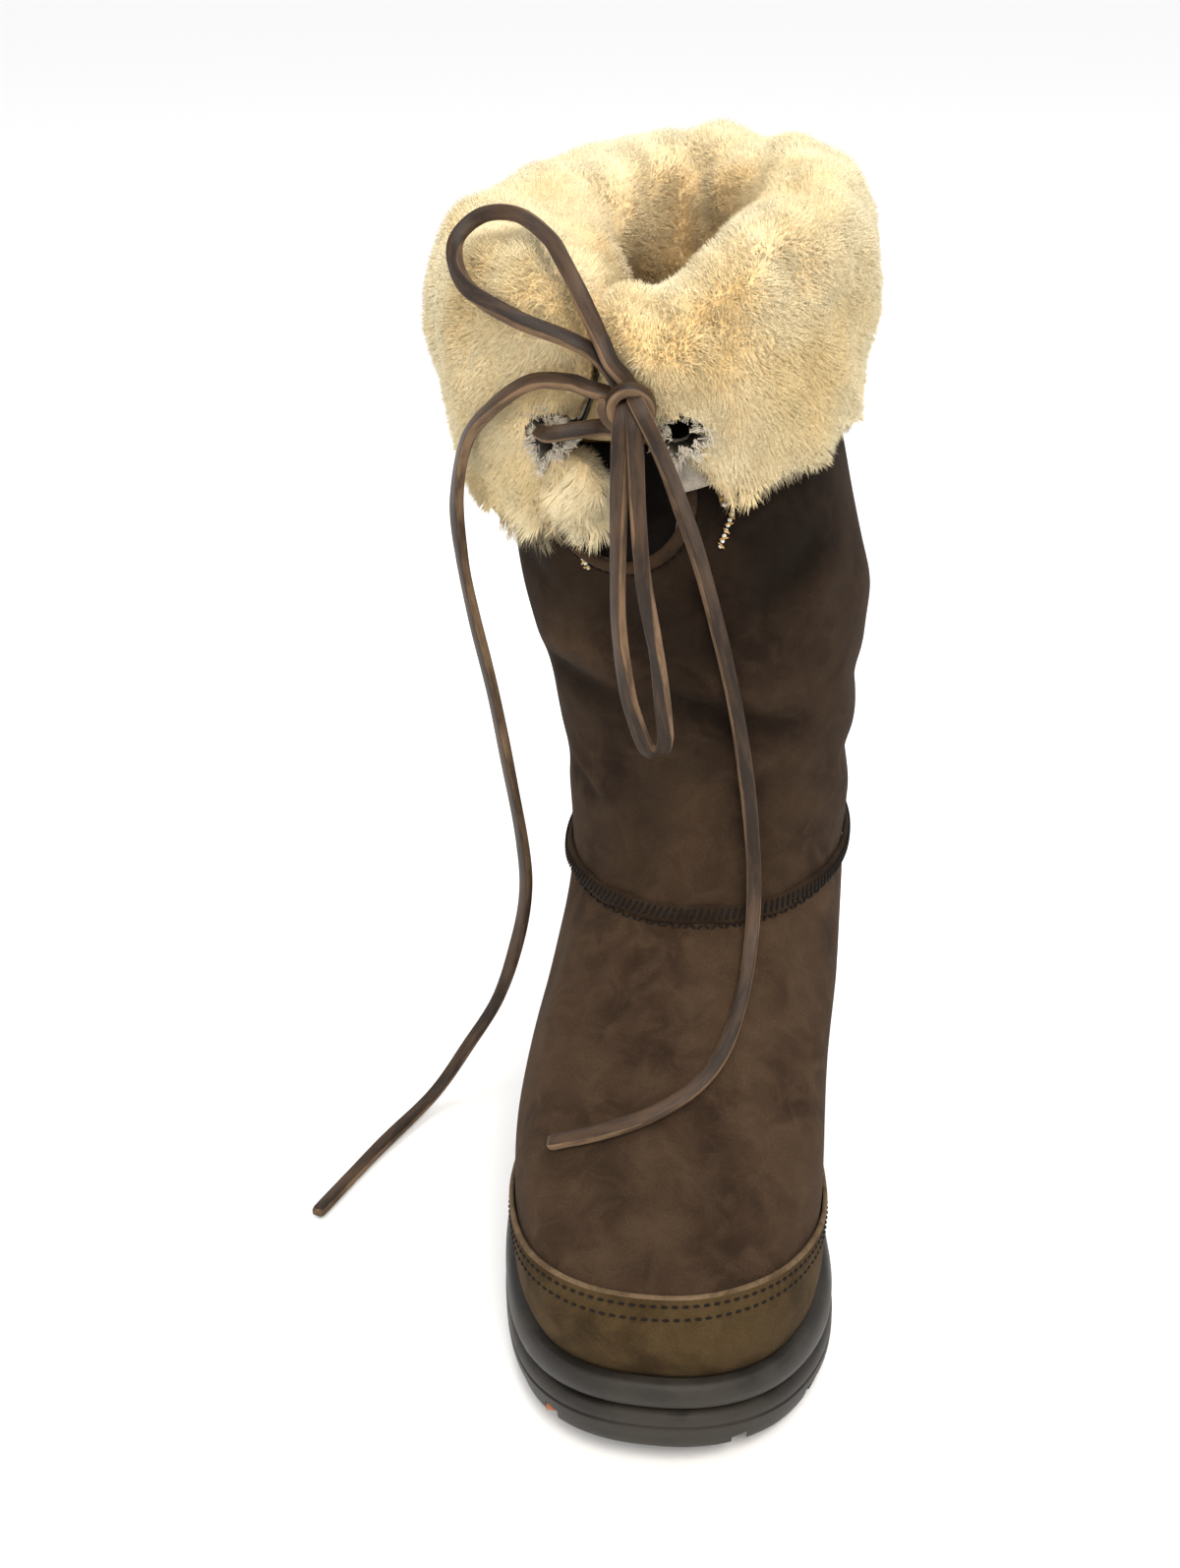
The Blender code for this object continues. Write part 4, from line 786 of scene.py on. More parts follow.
def shell(outer, inner, closed):
    """Points and faces of the solid between two grids, rows from bottom to top and columns round the boot."""
    outer, inner = np.array(outer), np.array(inner)
    rows, columns = outer.shape[:2]
    shift = rows * columns
    faces = [grid_faces(rows, columns, closed), grid_faces(rows, columns, closed, shift, True)]
    c = np.arange(columns if closed else columns - 1)
    d = (c + 1) % columns
    top = (rows - 1) * columns
    faces.append(np.stack([c, c + shift, d + shift, d], -1))
    faces.append(np.stack([top + c, top + d, top + d + shift, top + c + shift], -1))
    if not closed:
        r = np.arange(rows - 1) * columns
        last = r + columns - 1
        faces.append(np.stack([r, r + columns, r + columns + shift, r + shift], -1))
        faces.append(np.stack([last, last + shift, last + columns + shift, last + columns], -1))
    return np.vstack([outer.reshape(-1, 3), inner.reshape(-1, 3)]), np.vstack(faces)


def even(start, end, count):
    return np.linspace(start, end, count)


def ring(count):
    return np.arange(count) * 360.0 / count


# The camera stands where the photographer's did, above the toes and a little to the inner side.
CAMERA_TURN = 8.0
CAMERA_RISE = 28.0
CAMERA_AWAY = 0.68
CAMERA_LENS = 45.17
LOOKED_AT = Vector((0.0166, -0.0018, 0.160))
FRAME_ASIDE = -100 / 1594
FRAME_UP = 45 / 1594


def add_camera():
    turn, rise = math.radians(CAMERA_TURN), math.radians(CAMERA_RISE)
    away = Vector((math.sin(turn) * math.cos(rise), -math.cos(turn) * math.cos(rise), math.sin(rise)))
    data = bpy.data.cameras.new("camera")
    data.lens = CAMERA_LENS
    data.sensor_width = 36.0
    data.sensor_fit = "AUTO"
    data.shift_x = FRAME_ASIDE
    data.shift_y = FRAME_UP
    data.clip_start = 0.02
    camera = new_object("camera", data)
    camera.location = LOOKED_AT + CAMERA_AWAY * away
    camera.rotation_euler = (-away).to_track_quat("-Z", "Y").to_euler()
    bpy.context.scene.camera = camera
    return np.array(away)


to_camera = add_camera()


def thong_piece(name, path, facing, exit_at=None):
    """Flat thong along a path. facing gives the way its wide face looks, at even shares of its length."""
    along = unit(np.gradient(path, axis=0))
    share = np.linspace(0, 1, len(path))
    hints = np.asarray(facing, float).reshape(-1, 3)
    at = np.linspace(0, 1, len(hints))
    hint = np.stack([np.interp(share, at, hints[:, k]) for k in range(3)], -1)
    face = unit(hint - (hint * along).sum(-1, keepdims=True) * along)
    side = np.cross(along, face)
    w, h, r = LACE_WIDTH / 2, LACE_THICK / 2, 0.0007
    section, edge = [], []
    for x, y in ((1, -1), (1, 1), (-1, 1), (-1, -1)):
        for turned in ((0, 1), (0.7, 0.7), (1, 0)) if x * y < 0 else ((1, 0), (0.7, 0.7), (0, 1)):
            section.append((x * (w - r + r * turned[0]), y * (h - r + r * turned[1])))
            edge.append(turned[0])
    # Points between the corners keep the faces from being stretched across the whole width.
    closed, cut_edge = [], []
    for k, (start, end) in enumerate(zip(section, section[1:] + section[:1])):
        closed.append(start)
        cut_edge.append(edge[k])
        if k % 3 == 2:
            closed.append(((start[0] + end[0]) / 2, (start[1] + end[1]) / 2))
            cut_edge.append(1.0 if abs(start[0] - end[0]) < 1e-6 else 0.0)
    section = np.array(closed)
    ends = np.ones(len(path))
    ends[0] = ends[-1] = 0.86
    gone = share * run_of(path)
    wobble = 1 + 0.05 * np.sin(gone / 0.011 + len(path)) * np.sin(gone / 0.029)
    size = (ends * wobble)[:, None, None]
    across, up = section[:, 0, None] * side[:, None], section[:, 1, None] * face[:, None]
    points = path[:, None] + size * (across + up)
    rows, columns = points.shape[:2]
    run = run_along(path)
    lie = np.zeros((rows, columns, 3))
    lie[..., 0] = run[:, None] / 6
    lie[..., 1] = section[:, 0]
    lie[..., 2] = section[:, 1]
    tips = path[0] - 0.0004 * along[0], path[-1] + 0.0004 * along[-1]
    everywhere = np.vstack([points.reshape(-1, 3), *tips])
    c = np.arange(columns)
    d = (c + 1) % columns
    first, last = rows * columns, rows * columns + 1
    caps = np.concatenate(
        [
            np.stack([d, c, np.full(columns, first)], -1),
            np.stack([c, d, np.full(columns, last)], -1) + np.array([[(rows - 1) * columns] * 2 + [0]]),
        ]
    )
    faces = np.vstack([triangles(grid_faces(rows, columns, True)), caps])
    edge_values = np.concatenate([np.tile(cut_edge, rows), [1.0, 1.0]])
    edge_values[:columns] = 1.0
    edge_values[(rows - 1) * columns : rows * columns] = 1.0
    lie_values = np.vstack([lie.reshape(-1, 3), [[0, 0, 0], [run[-1] / 6, 0, 0]]])
    piece = add_mesh(
        name, everywhere, faces, waxed_thong, "leather_thong", (name.replace("thong", "lace"),),
        {"cut_edge": edge_values, "lie": lie_values},
    )
    outward(piece)
    tuple(path[0] if exit_at is None else exit_at)
    [tuple(p) for p in path]
    return piece


def outward(piece):
    """Turns every face of a closed piece outwards."""
    shape = bmesh.new()
    shape.from_mesh(piece.data)
    bmesh.ops.recalc_face_normals(shape, faces=shape.faces)
    shape.to_mesh(piece.data)
    shape.free()


def add_thong():
    """The bar between the lace holes, the knot, its two loops and the two ends."""
    step = 0.0016
    front, level, aside = to_camera, UP, ASIDE
    thong_piece("thong_bar", smooth_route(from_knot(BAR_ROUTE), step), [to_camera])
    knot = knot_route()
    radial = unit(knot - knot_middle())
    thong_piece("thong_knot", knot, radial)
    upper = smooth_route(from_knot(UPPER_LOOP_ROUTE), step)
    thong_piece(
        "thong_loop_upper", upper,
        [front + aside, front, front - 0.8 * aside, front - level, front + level, front],
    )
    lower = smooth_route(from_knot(LOWER_LOOP_ROUTE), step)
    thong_piece(
        "thong_loop_lower", lower,
        [front, front - 0.6 * aside, front - aside, front - level, front - aside, front + 0.4 * aside, front],
    )
    outer = smooth_route(outer_end_route(), step)
    thong_piece(
        "thong_end_outer", outer,
        [front + level, front + 0.6 * level, front - aside, front - aside, front - 0.7 * aside,
         front - 0.2 * aside, level + front, level],
    )
    inner = smooth_route(inner_end_route(), step)
    thong_piece(
        "thong_end_inner", inner,
        [front, front + 0.5 * aside, front + 0.3 * aside, front + 0.3 * aside, front + level,
         front + level, level + 0.4 * front],
    )


add_thong()

# Folds of the hide, laid one by one: a path of (turn, height), how far its middle sinks (or stands, if
# positive) and its half width, in metres.
HIDE_FOLDS = (
    {"path": ((-58, 0.219), (-48, 0.222), (-34, 0.2235), (-19, 0.219), (-10, 0.214)),
     "out": 0.0028, "wide": 0.0066},
    {"path": ((-60, 0.207), (-52, 0.2085), (-44, 0.2085), (-25, 0.207), (-8, 0.204)),
     "out": -0.0036, "wide": 0.0054},
    {"path": ((-8, 0.210), (-2, 0.2075), (11, 0.2025), (26, 0.198), (48, 0.192)),
     "out": -0.0036, "wide": 0.0046},
    {"path": ((0, 0.217), (14, 0.2125), (30, 0.208), (46, 0.203)), "out": 0.0018, "wide": 0.0060},
    {"path": ((-58, 0.177), (-50, 0.1745), (-38, 0.167)), "out": 0.0015, "wide": 0.0042},
    {"path": ((-60, 0.169), (-50, 0.166), (-37, 0.159)), "out": -0.0018, "wide": 0.0050},
    {"path": ((-8, 0.1835), (2, 0.180), (14, 0.176)), "out": -0.0016, "wide": 0.0036},
    {"path": ((-20, 0.180), (-17, 0.160), (-13, 0.136)), "out": -0.0014, "wide": 0.0070},
    {"path": ((64, 0.257), (56, 0.254), (42, 0.2485), (28, 0.236)), "out": -0.0026, "wide": 0.0060},
    {"path": ((70, 0.245), (58, 0.242), (44, 0.234)), "out": 0.0014, "wide": 0.0070},
    {"path": ((-64, 0.252), (-46, 0.247), (-32, 0.240)), "out": -0.0018, "wide": 0.0070},
    {"path": ((70, 0.175), (92, 0.165), (112, 0.168)), "out": -0.0026, "wide": 0.007},
    {"path": ((75, 0.200), (100, 0.192), (125, 0.197), (146, 0.205)), "out": -0.0024, "wide": 0.008},
    {"path": ((80, 0.232), (104, 0.226), (128, 0.234)), "out": 0.0014, "wide": 0.010},
    {"path": ((-70, 0.170), (-92, 0.160), (-114, 0.164)), "out": -0.0026, "wide": 0.007},
    {"path": ((-74, 0.206), (-98, 0.196), (-124, 0.200), (-150, 0.210)), "out": -0.0026, "wide": 0.008},
    {"path": ((-84, 0.240), (-108, 0.232), (-132, 0.240)), "out": 0.0014, "wide": 0.010},
    {"path": ((150, 0.180), (170, 0.172), (190, 0.174), (210, 0.184)), "out": -0.0022, "wide": 0.007},
    {"path": ((156, 0.222), (178, 0.216), (204, 0.222)), "out": -0.0016, "wide": 0.008},
    {"path": ((56, 0.118), (70, 0.104), (84, 0.096)), "out": -0.0016, "wide": 0.006},
    {"path": ((-56, 0.118), (-70, 0.104), (-84, 0.096)), "out": -0.0016, "wide": 0.006},
    {"path": ((-30, 0.096), (-8, 0.100), (14, 0.098), (32, 0.092)), "out": -0.0008, "wide": 0.008},
)
# Darker (below 0) and paler places of the suede: stains and worn places, and on the shaft painted shade and
# painted light beside its folds: turn, height, half sizes.
STAINS_AND_PAINTED_SHADE = (
    {"turn": -10, "height": 0.078, "around": 8, "up": 0.008, "tone": -0.34},
    {"turn": 20, "height": 0.079, "around": 9, "up": 0.010, "tone": -0.30},
    {"turn": 0, "height": 0.067, "around": 10, "up": 0.004, "tone": -0.24},
    {"turn": 52, "height": 0.100, "around": 18, "up": 0.022, "tone": 0.14},
    {"turn": -30, "height": 0.086, "around": 9, "up": 0.012, "tone": 0.10},
    {"turn": 44, "height": 0.254, "around": 24, "up": 0.016, "tone": -0.34},
    {"turn": 4, "height": 0.226, "around": 16, "up": 0.018, "tone": -0.22},
    {"turn": 26, "height": 0.194, "around": 22, "up": 0.005, "tone": -0.22},
    {"turn": -26, "height": 0.202, "around": 24, "up": 0.006, "tone": -0.24},
    {"turn": -36, "height": 0.226, "around": 24, "up": 0.006, "tone": 0.20},
    {"turn": -46, "height": 0.250, "around": 20, "up": 0.012, "tone": 0.05},
    {"turn": 6, "height": 0.160, "around": 16, "up": 0.018, "tone": 0.14},
    {"turn": -44, "height": 0.168, "around": 8, "up": 0.008, "tone": 0.14},
    {"turn": 50, "height": 0.160, "around": 16, "up": 0.020, "tone": 0.08},
    {"turn": 150, "height": 0.200, "around": 30, "up": 0.030, "tone": 0.12},
    {"turn": -140, "height": 0.170, "around": 30, "up": 0.026, "tone": 0.10},
)
# Painted shade on the shaft: it is painted darker than the vamp, and darker still up towards the cuff: heights
# and tones.
SHAFT_PAINTED_SHADE = (
    (0.000, 0.02), (0.085, -0.04), (0.124, 0.02), (0.136, -0.26), (0.165, -0.34), (0.195, -0.42),
    (0.225, -0.50), (0.262, -0.66), (0.290, -0.80),
)


# Metres that one degree of turn spans on the shaft.
DEGREE_SPAN = 0.00105


def hide_relief(turn, height):
    """How far the hide stands out of its plain form: the folds, and the slack between them."""
    turn, height = np.broadcast_arrays(np.asarray(turn, float), np.asarray(height, float))
    turn = half_turn(turn)
    total = np.zeros(turn.shape)
    for fold in HIDE_FOLDS:
        path = np.array(fold["path"], float)
        middle = path[:, 0].mean()
        own = middle + (turn - middle + 180.0) % 360.0 - 180.0
        x, z = own * DEGREE_SPAN, height
        near = np.full(turn.shape, 9.0)
        share_at = np.zeros(turn.shape)
        spans = len(path) - 1
        for k, (start, end) in enumerate(zip(path, path[1:])):
            ax, az = start[0] * DEGREE_SPAN, start[1]
            bx, bz = end[0] * DEGREE_SPAN - ax, end[1] - az
            t = np.clip(((x - ax) * bx + (z - az) * bz) / (bx * bx + bz * bz), 0, 1)
            away = np.hypot(x - ax - t * bx, z - az - t * bz)
            closer = away < near
            near = np.where(closer, away, near)
            share_at = np.where(closer, (k + t) / spans, share_at)
        fade = np.sin(np.pi * np.clip(0.06 + 0.88 * share_at, 0, 1)) ** 0.8
        total += fold["out"] * fade * np.exp(-((near / fold["wide"]) ** 2))
    a = np.radians(turn)
    slack = (
        np.sin(2 * a + 31 * height + 0.6) * np.sin(47 * height + 1.1 * np.sin(a))
        + 0.7 * np.sin(5 * a - 23 * height + 2.0) * np.sin(70 * height + 0.5)
        + 0.4 * np.sin(9 * a + 63 * height + 4.0)
    )
    body = ease((height - 0.045) / 0.03) * ease((COLLAR_HEIGHT - 0.02 - height) / 0.05)
    seam = 1 - bump(height, INSTEP_HEIGHT, 0.006)
    # The hide tucks in over the edge of the sole at the ball of the foot.
    tuck = bump(turn, -84.0, 40.0) + 0.6 * bump(turn, 84.0, 40.0)
    total = total - 0.0030 * tuck * bump(height, 0.046, 0.015)
    laid = total * ease((COLLAR_HEIGHT - 0.02 - height) / 0.03) * seam
    return laid + 0.0007 * slack * body * (0.4 + 0.6 * seam)


# Tone of the suede at each place: stains and worn places, and painted light and shade on the shaft and its
# folds.
def suede_tone_with_painted_shade(turn, height):
    turn, height = np.broadcast_arrays(np.asarray(turn, float), np.asarray(height, float))
    total = np.interp(height, *zip(*SHAFT_PAINTED_SHADE))
    for place in STAINS_AND_PAINTED_SHADE:
        off = half_turn(turn - place["turn"])
        above = (height - place["height"]) / place["up"]
        total += place["tone"] * np.exp(-((off / place["around"]) ** 2) - above**2)
    # Ridges are painted paler and troughs darker: painted light and painted shade on the folds.
    return total + np.clip(95.0 * hide_relief(turn, height), -0.30, 0.30)


def on_skin(turn, height, out):
    """Point a distance out from the hide with its folds."""
    turn, height, out = np.broadcast_arrays(*(np.asarray(v, float) for v in (turn, height, out)))
    lift = (out + hide_relief(turn, height))[..., None]
    return upper_point(turn, height) + lift * upper_normal(turn, height)


def skin_normal(turn, height):
    around = on_skin(turn + 0.5, height, 0.0) - on_skin(turn - 0.5, height, 0.0)
    up = on_skin(turn, height + 0.0008, 0.0) - on_skin(turn, height - 0.0008, 0.0)
    return unit(np.cross(around, up))


def throat_half(drop):
    drops = [row["drop"] * THROAT_DEPTH for row in THROAT_OUTLINE]
    halves = [row["half"] * THROAT_WIDTH for row in THROAT_OUTLINE]
    return np.interp(drop, drops, halves, left=halves[0], right=-1.0)


def open_sheet(points, faces, inside, edge):
    """Takes the faces whose middle is inside an opening out of a sheet, and moves its new rim onto the edge.
    inside(points) says which points lie in the opening, edge(points) gives their places on its rim."""
    gone = inside(points[faces].mean(axis=1))
    kept = faces[~gone]
    rim = np.intersect1d(np.unique(faces[gone]), np.unique(kept))
    points = points.copy()
    points[rim] = edge(points[rim])
    return points, kept


def without_loose(points, faces, *values):
    """Drops the points that no face uses."""
    used = np.unique(faces)
    place = np.full(len(points), -1)
    place[used] = np.arange(len(used))
    return (points[used], place[faces], *[v[used] for v in values])


def nearest_on(outline, flat):
    """For each flat point, the step to the nearest place on a fine outline."""
    steps = outline[None, :, :] - flat[:, None, :]
    best = np.argmin((steps**2).sum(-1), axis=1)
    return steps[np.arange(len(flat)), best]


def throat_opening():
    out, side = throat_bearing()
    middle = upper_point(THROAT_TURN, COLLAR_HEIGHT)
    drops = np.linspace(-0.02, THROAT_DEPTH, 900)
    halves = np.maximum(throat_half(drops), 0.0)
    outline = np.vstack([np.stack([halves, drops], -1), np.stack([-halves, drops], -1)])

    def flat(points):
        away = points - middle
        return np.stack([away @ side, -away[:, 2]], -1), away @ out

    def inside(points):
        place, ahead = flat(points)
        return (np.abs(place[:, 0]) < throat_half(place[:, 1])) & (ahead > -0.030)

    def edge(points):
        step = nearest_on(outline, flat(points)[0])
        return points + step[:, :1] * side - step[:, 1:] * UP

    return inside, edge


def hole_places():
    """Middle of each lace hole on the cuff's skin, and the level way out of it."""
    places = []
    for side in (-1, 1):
        turn = THROAT_TURN + side * math.degrees(HOLE_SPREAD / (SHAFT_WIDTH / 2))
        way = beside_collar(turn, -HOLE_DROP, 0.01) - beside_collar(turn, -HOLE_DROP, 0.0)
        places.append((beside_collar(turn, -HOLE_DROP, FOLD_GAP + WALL), unit(way)))
    return places


def hole_opening(middle, way, radius):
    flat_way = np.array([-way[1], way[0], 0.0])

    def flat(points):
        away = points - middle
        return np.stack([away @ flat_way, away[:, 2]], -1), away @ way

    def inside(points):
        place, ahead = flat(points)
        near = (ahead > -WALL - 0.6 * FOLD_GAP) & (ahead < 0.03)
        return (np.hypot(place[:, 0], place[:, 1]) < radius) & near

    def edge(points):
        place = flat(points)[0]
        step = place * (radius / np.maximum(np.hypot(place[:, 0], place[:, 1]), 1e-6) - 1)[:, None]
        return points + step[:, :1] * flat_way + step[:, 1:] * UP

    return inside, edge


HIDE_COLUMNS = 220
LINING_COLUMNS = 130
LINING_TOP = 0.304


def add_upper():
    """Vamp, shaft and turned-over cuff as one hide, its wall turned inwards, with throat and lace holes."""
    around = ring(HIDE_COLUMNS)
    heights = np.concatenate(
        [even(FOOT_BOTTOM, COLLAR_HEIGHT - 0.07, 118), even(COLLAR_HEIGHT - 0.068, COLLAR_HEIGHT, 28)]
    )
    rows = [on_skin(around, z, 0.0) for z in heights]
    tones = [suede_tone_with_painted_shade(around, z) for z in heights]
    for angle in even(22.5, 180.0, 8):
        rows.append(fold_row(around, FOLD_GAP / 2, angle))
        tones.append(around * 0)
    for share in even(1 / 24, 1.0, 24):
        rows.append(beside_collar(around, -share * cuff_drop(around), skin_gap(share)))
        tones.append(around * 0)
    grid = np.array(rows)
    points, faces = drooped(grid.reshape(-1, 3)), grid_faces(*grid.shape[:2], True)
    points, faces = open_sheet(points, faces, *throat_opening())
    for middle, way in hole_places():
        points, faces = open_sheet(points, faces, *hole_opening(middle, way, HOLE_RADIUS))
    points, faces, tone = without_loose(points, faces, np.array(tones).ravel())
    upper = add_mesh("hide_upper", points, faces, brown_suede, "brown_suede", ("upper",), {"shade": tone})
    upper.data.materials.append(skin_side)
    wall = upper.modifiers.new("wall", "SOLIDIFY")
    wall.thickness = WALL
    wall.offset = -1.0
    wall.use_even_offset = True
    wall.material_offset = 1
    wall.material_offset_rim = 1


GUSSET_LOW = THROAT_DEPTH + 0.008
GUSSET_HIGH = 0.21 * (COLLAR_HEIGHT - INSTEP_HEIGHT) + 0.004


def gusset_depth(turn, drop):
    """How deep the panel behind the throat is hollowed."""
    across = np.clip((turn - throat_place(0.0, drop)) / 30.0, -1, 1)
    hollow = 0.009 * (1 - across**2)
    return WALL + GAP + hollow * ease((GUSSET_LOW - drop) / (0.6 * (GUSSET_LOW - GUSSET_HIGH)))


def add_lining():
    """Short fleece down the inside of the shaft and foot."""
    around = ring(LINING_COLUMNS)
    rows = np.concatenate(
        [even(FOOT_BOTTOM + 0.004, INSTEP_HEIGHT, 30), even(INSTEP_HEIGHT + 0.004, LINING_TOP, 44)]
    )
    outer, inner = [], []
    for z in rows:
        turn = half_turn(around)
        drop = COLLAR_HEIGHT - z
        behind = np.where(
            (np.abs(turn - THROAT_TURN) < 42) & (drop < THROAT_DEPTH + 0.02),
            gusset_depth(turn, np.full(turn.shape, drop)) + 0.0022, 0.0,
        )
        depth = np.maximum(WALL + GAP, behind)
        lump = 0.0006 * np.sin(turn * 0.9 + z * 900) + 0.0005 * np.sin(turn * 0.53 - z * 700)
        outer.append(on_skin(around, z, -depth))
        inner.append(on_skin(around, z, -depth - 0.0042 - lump))
    points, faces = shell(outer, inner, True)
    tip = np.concatenate([np.zeros(len(points) // 2), np.full(len(points) // 2, 0.55)])
    add_mesh("fleece_lining", points, faces, tan_wool, "cream_fur", (), wool_tones(len(points), tip))


# The wool of the cuff as the solid has it: from the hem up the outside, over the fold and down inside.
FUR_OUTSIDE = (
    {"drop": 1.06, "thick": 0.30, "gap": 25.0, "over": 25.0},
    {"drop": 1.00, "thick": 0.55, "gap": 23.0, "over": 23.5},
    {"drop": 0.64, "thick": 1.05, "gap": 15.0, "over": 13.0},
    {"drop": 0.32, "thick": 1.20, "gap": 5.0, "over": 1.0},
    {"drop": 0.00, "thick": 1.15, "gap": 3.0, "over": -2.6},
)
FUR_FOLD = (
    {"angle": 135.0, "thick": 1.12, "gap": 2.5, "over": -2.4},
    {"angle": 90.0, "thick": 1.05, "gap": 2.5, "over": -2.2},
    {"angle": 45.0, "thick": 1.05, "gap": 2.5, "over": -2.0},
)
FUR_INSIDE = (
    {"level": 1.00, "thick": 1.00, "gap": 2.5, "over": -1.0},
    {"level": 0.90, "thick": 1.05, "gap": 3.0, "over": 2.0},
    {"level": 0.79, "thick": 0.55, "gap": 4.0, "over": 4.0},
)
# The corner of the fold droops beside the throat: how far, round which bearing, and from which level up.
DROOP = 0.015
DROOP_BEARING = 12.0
DROOP_SPREAD = 19.0
DROOP_FROM = 0.306
DROOP_OVER = 0.040
# The outer side of the cuff has slumped into the collar: how far each row leans in, and round which turns.
FUR_LEAN = 0.024
FUR_LEAN_ROWS = (0.0, 0.0, 0.0, 0.0, 0.05, 0.15, 0.45, 0.80, 1.00, 0.80, 0.30)
FUR_LEAN_TURNS = ((312.0, 34.0, 1.15), (262.0, 34.0, 0.75), (222.0, 26.0, 0.55), (20.0, 22.0, 0.15))
EDGE_COLUMNS = 4
EDGE_SPAN = 30.0
FUR_GAP = 0.0006
EDGE_ROUND = 0.016
LOCK_EVERY = 3
LOCK_LENGTH = 0.006


def fur_turns(row):
    first, last = (
        [gap + (EDGE_SPAN - gap) * k / EDGE_COLUMNS for k in range(EDGE_COLUMNS)]
        for gap in (row["over"], row["gap"])
    )
    step = 360.0 / COLUMNS
    middle = [EDGE_SPAN + step * k for k in range(round((360.0 - 2 * EDGE_SPAN) / step) + 1)]
    return THROAT_TURN + np.array(first + middle + [360.0 - t for t in reversed(last)])


def cuff_frame():
    """The solid's own rows of points, on the wool's outside and on the skin side."""
    outer, inner = [], []
    radius = (SHAFT_WIDTH + SHAFT_DEPTH) / 4

    def pile(t, row, number):
        gap = np.minimum(t - THROAT_TURN - row["over"], 360.0 - t + THROAT_TURN - row["gap"])
        end = np.radians(gap) * radius / EDGE_ROUND
        rounded = np.sqrt(np.maximum(0.0, 1 - (1 - np.minimum(1.0, end)) ** 2))
        a = np.radians(t)
        lump = (
            1 + 0.10 * np.sin(5 * a + 1.7 * number) + 0.08 * np.sin(9 * a - 2.3 * number + 1.0)
            + 0.05 * np.sin(16 * a + 3.1 * number + 2.0)
        )
        return PILE * row["thick"] * (0.35 + 0.65 * rounded) * lump

    for number, row in enumerate(FUR_OUTSIDE):
        t = fur_turns(row)
        lock = np.where(np.arange(len(t)) % LOCK_EVERY == 1, LOCK_LENGTH, 0.0)
        hem = lock if number == 0 else -0.35 * lock if number == 1 else lock * 0
        out = skin_gap(row["drop"]) + WALL + FUR_GAP
        drop = row["drop"] * cuff_drop(t)
        outer.append(beside_collar(t, -drop - hem, out + pile(t, row, number) + 0.2 * lock))
        inner.append(beside_collar(t, -drop, out))
    for number, row in enumerate(FUR_FOLD, len(outer)):
        t = fur_turns(row)
        bend = FOLD_GAP / 2 + WALL + FUR_GAP
        outer.append(fold_row(t, bend + pile(t, row, number), row["angle"]))
        inner.append(fold_row(t, bend, row["angle"]))
    for number, row in enumerate(FUR_INSIDE, len(outer)):
        t = fur_turns(row)
        height = INSTEP_HEIGHT + row["level"] * (COLLAR_HEIGHT - INSTEP_HEIGHT)
        outer.append(on_upper(t, height, -WALL - FUR_GAP - INNER_PILE / PILE * pile(t, row, number)))
        inner.append(on_upper(t, height, -WALL - FUR_GAP + t * 0))
    rows = FUR_OUTSIDE + FUR_FOLD + FUR_INSIDE
    for number, (row, lean) in enumerate(zip(rows, FUR_LEAN_ROWS)):
        t = fur_turns(row)
        share = sum(much * bump(half_turn(t - at), 0.0, wide) for at, wide, much in FUR_LEAN_TURNS)
        inward = -unit(upper_normal(t, COLLAR_HEIGHT) * np.array([1.0, 1.0, 0.0]))
        outer[number] = outer[number] + FUR_LEAN * lean * share[:, None] * inward
    return np.array(outer), np.array(inner)


# A corner of the fleece over the throat, from the outer flap: place on the hide, distance out, half sizes.
TUFT = (
    {"turn": -15.0, "height": 0.3020, "out": 0.0095, "across": 0.0050, "deep": 0.0030},
    {"turn": -14.0, "height": 0.2985, "out": 0.0095, "across": 0.0090, "deep": 0.0048},
    {"turn": -12.5, "height": 0.2920, "out": 0.0090, "across": 0.0105, "deep": 0.0055},
    {"turn": -11.5, "height": 0.2850, "out": 0.0080, "across": 0.0092, "deep": 0.0050},
    {"turn": -11.5, "height": 0.2785, "out": 0.0072, "across": 0.0068, "deep": 0.0040},
    {"turn": -11.0, "height": 0.2735, "out": 0.0068, "across": 0.0034, "deep": 0.0022},
)


def tuft_rings():
    """Rings of the hanging corner of fleece, its first column repeated at the end."""
    rows = []
    for row in TUFT:
        middle = on_upper(row["turn"], row["height"], row["out"])
        out = unit(upper_normal(row["turn"], row["height"]))
        side = unit(np.cross(out, np.array([0.0, 0.0, -1.0])))
        a = np.linspace(0, 2 * math.pi, 33)[:, None]
        rows.append(middle + row["across"] * np.cos(a) * side + row["deep"] * np.sin(a) * out)
    grid = finer(np.array(rows), 4)
    push = 0.0009 * waves(grid, 0.009, 5)[..., None]
    return grid + push * unit(grid - grid.mean(axis=1, keepdims=True))


# Funnel of a torn lace hole: radius, share of the fleece's depth, and how ragged it is there.
HOLE_RIM = (
    (0.0045, -0.10, 0.2), (0.0047, 0.35, 0.6), (0.0051, 0.70, 1.2), (0.0058, 0.95, 1.8), (0.0066, 1.00, 2.4),
    (0.0076, 0.78, 2.6),
)
RIM_COLUMNS = 60
RIM_FIBRES = 460


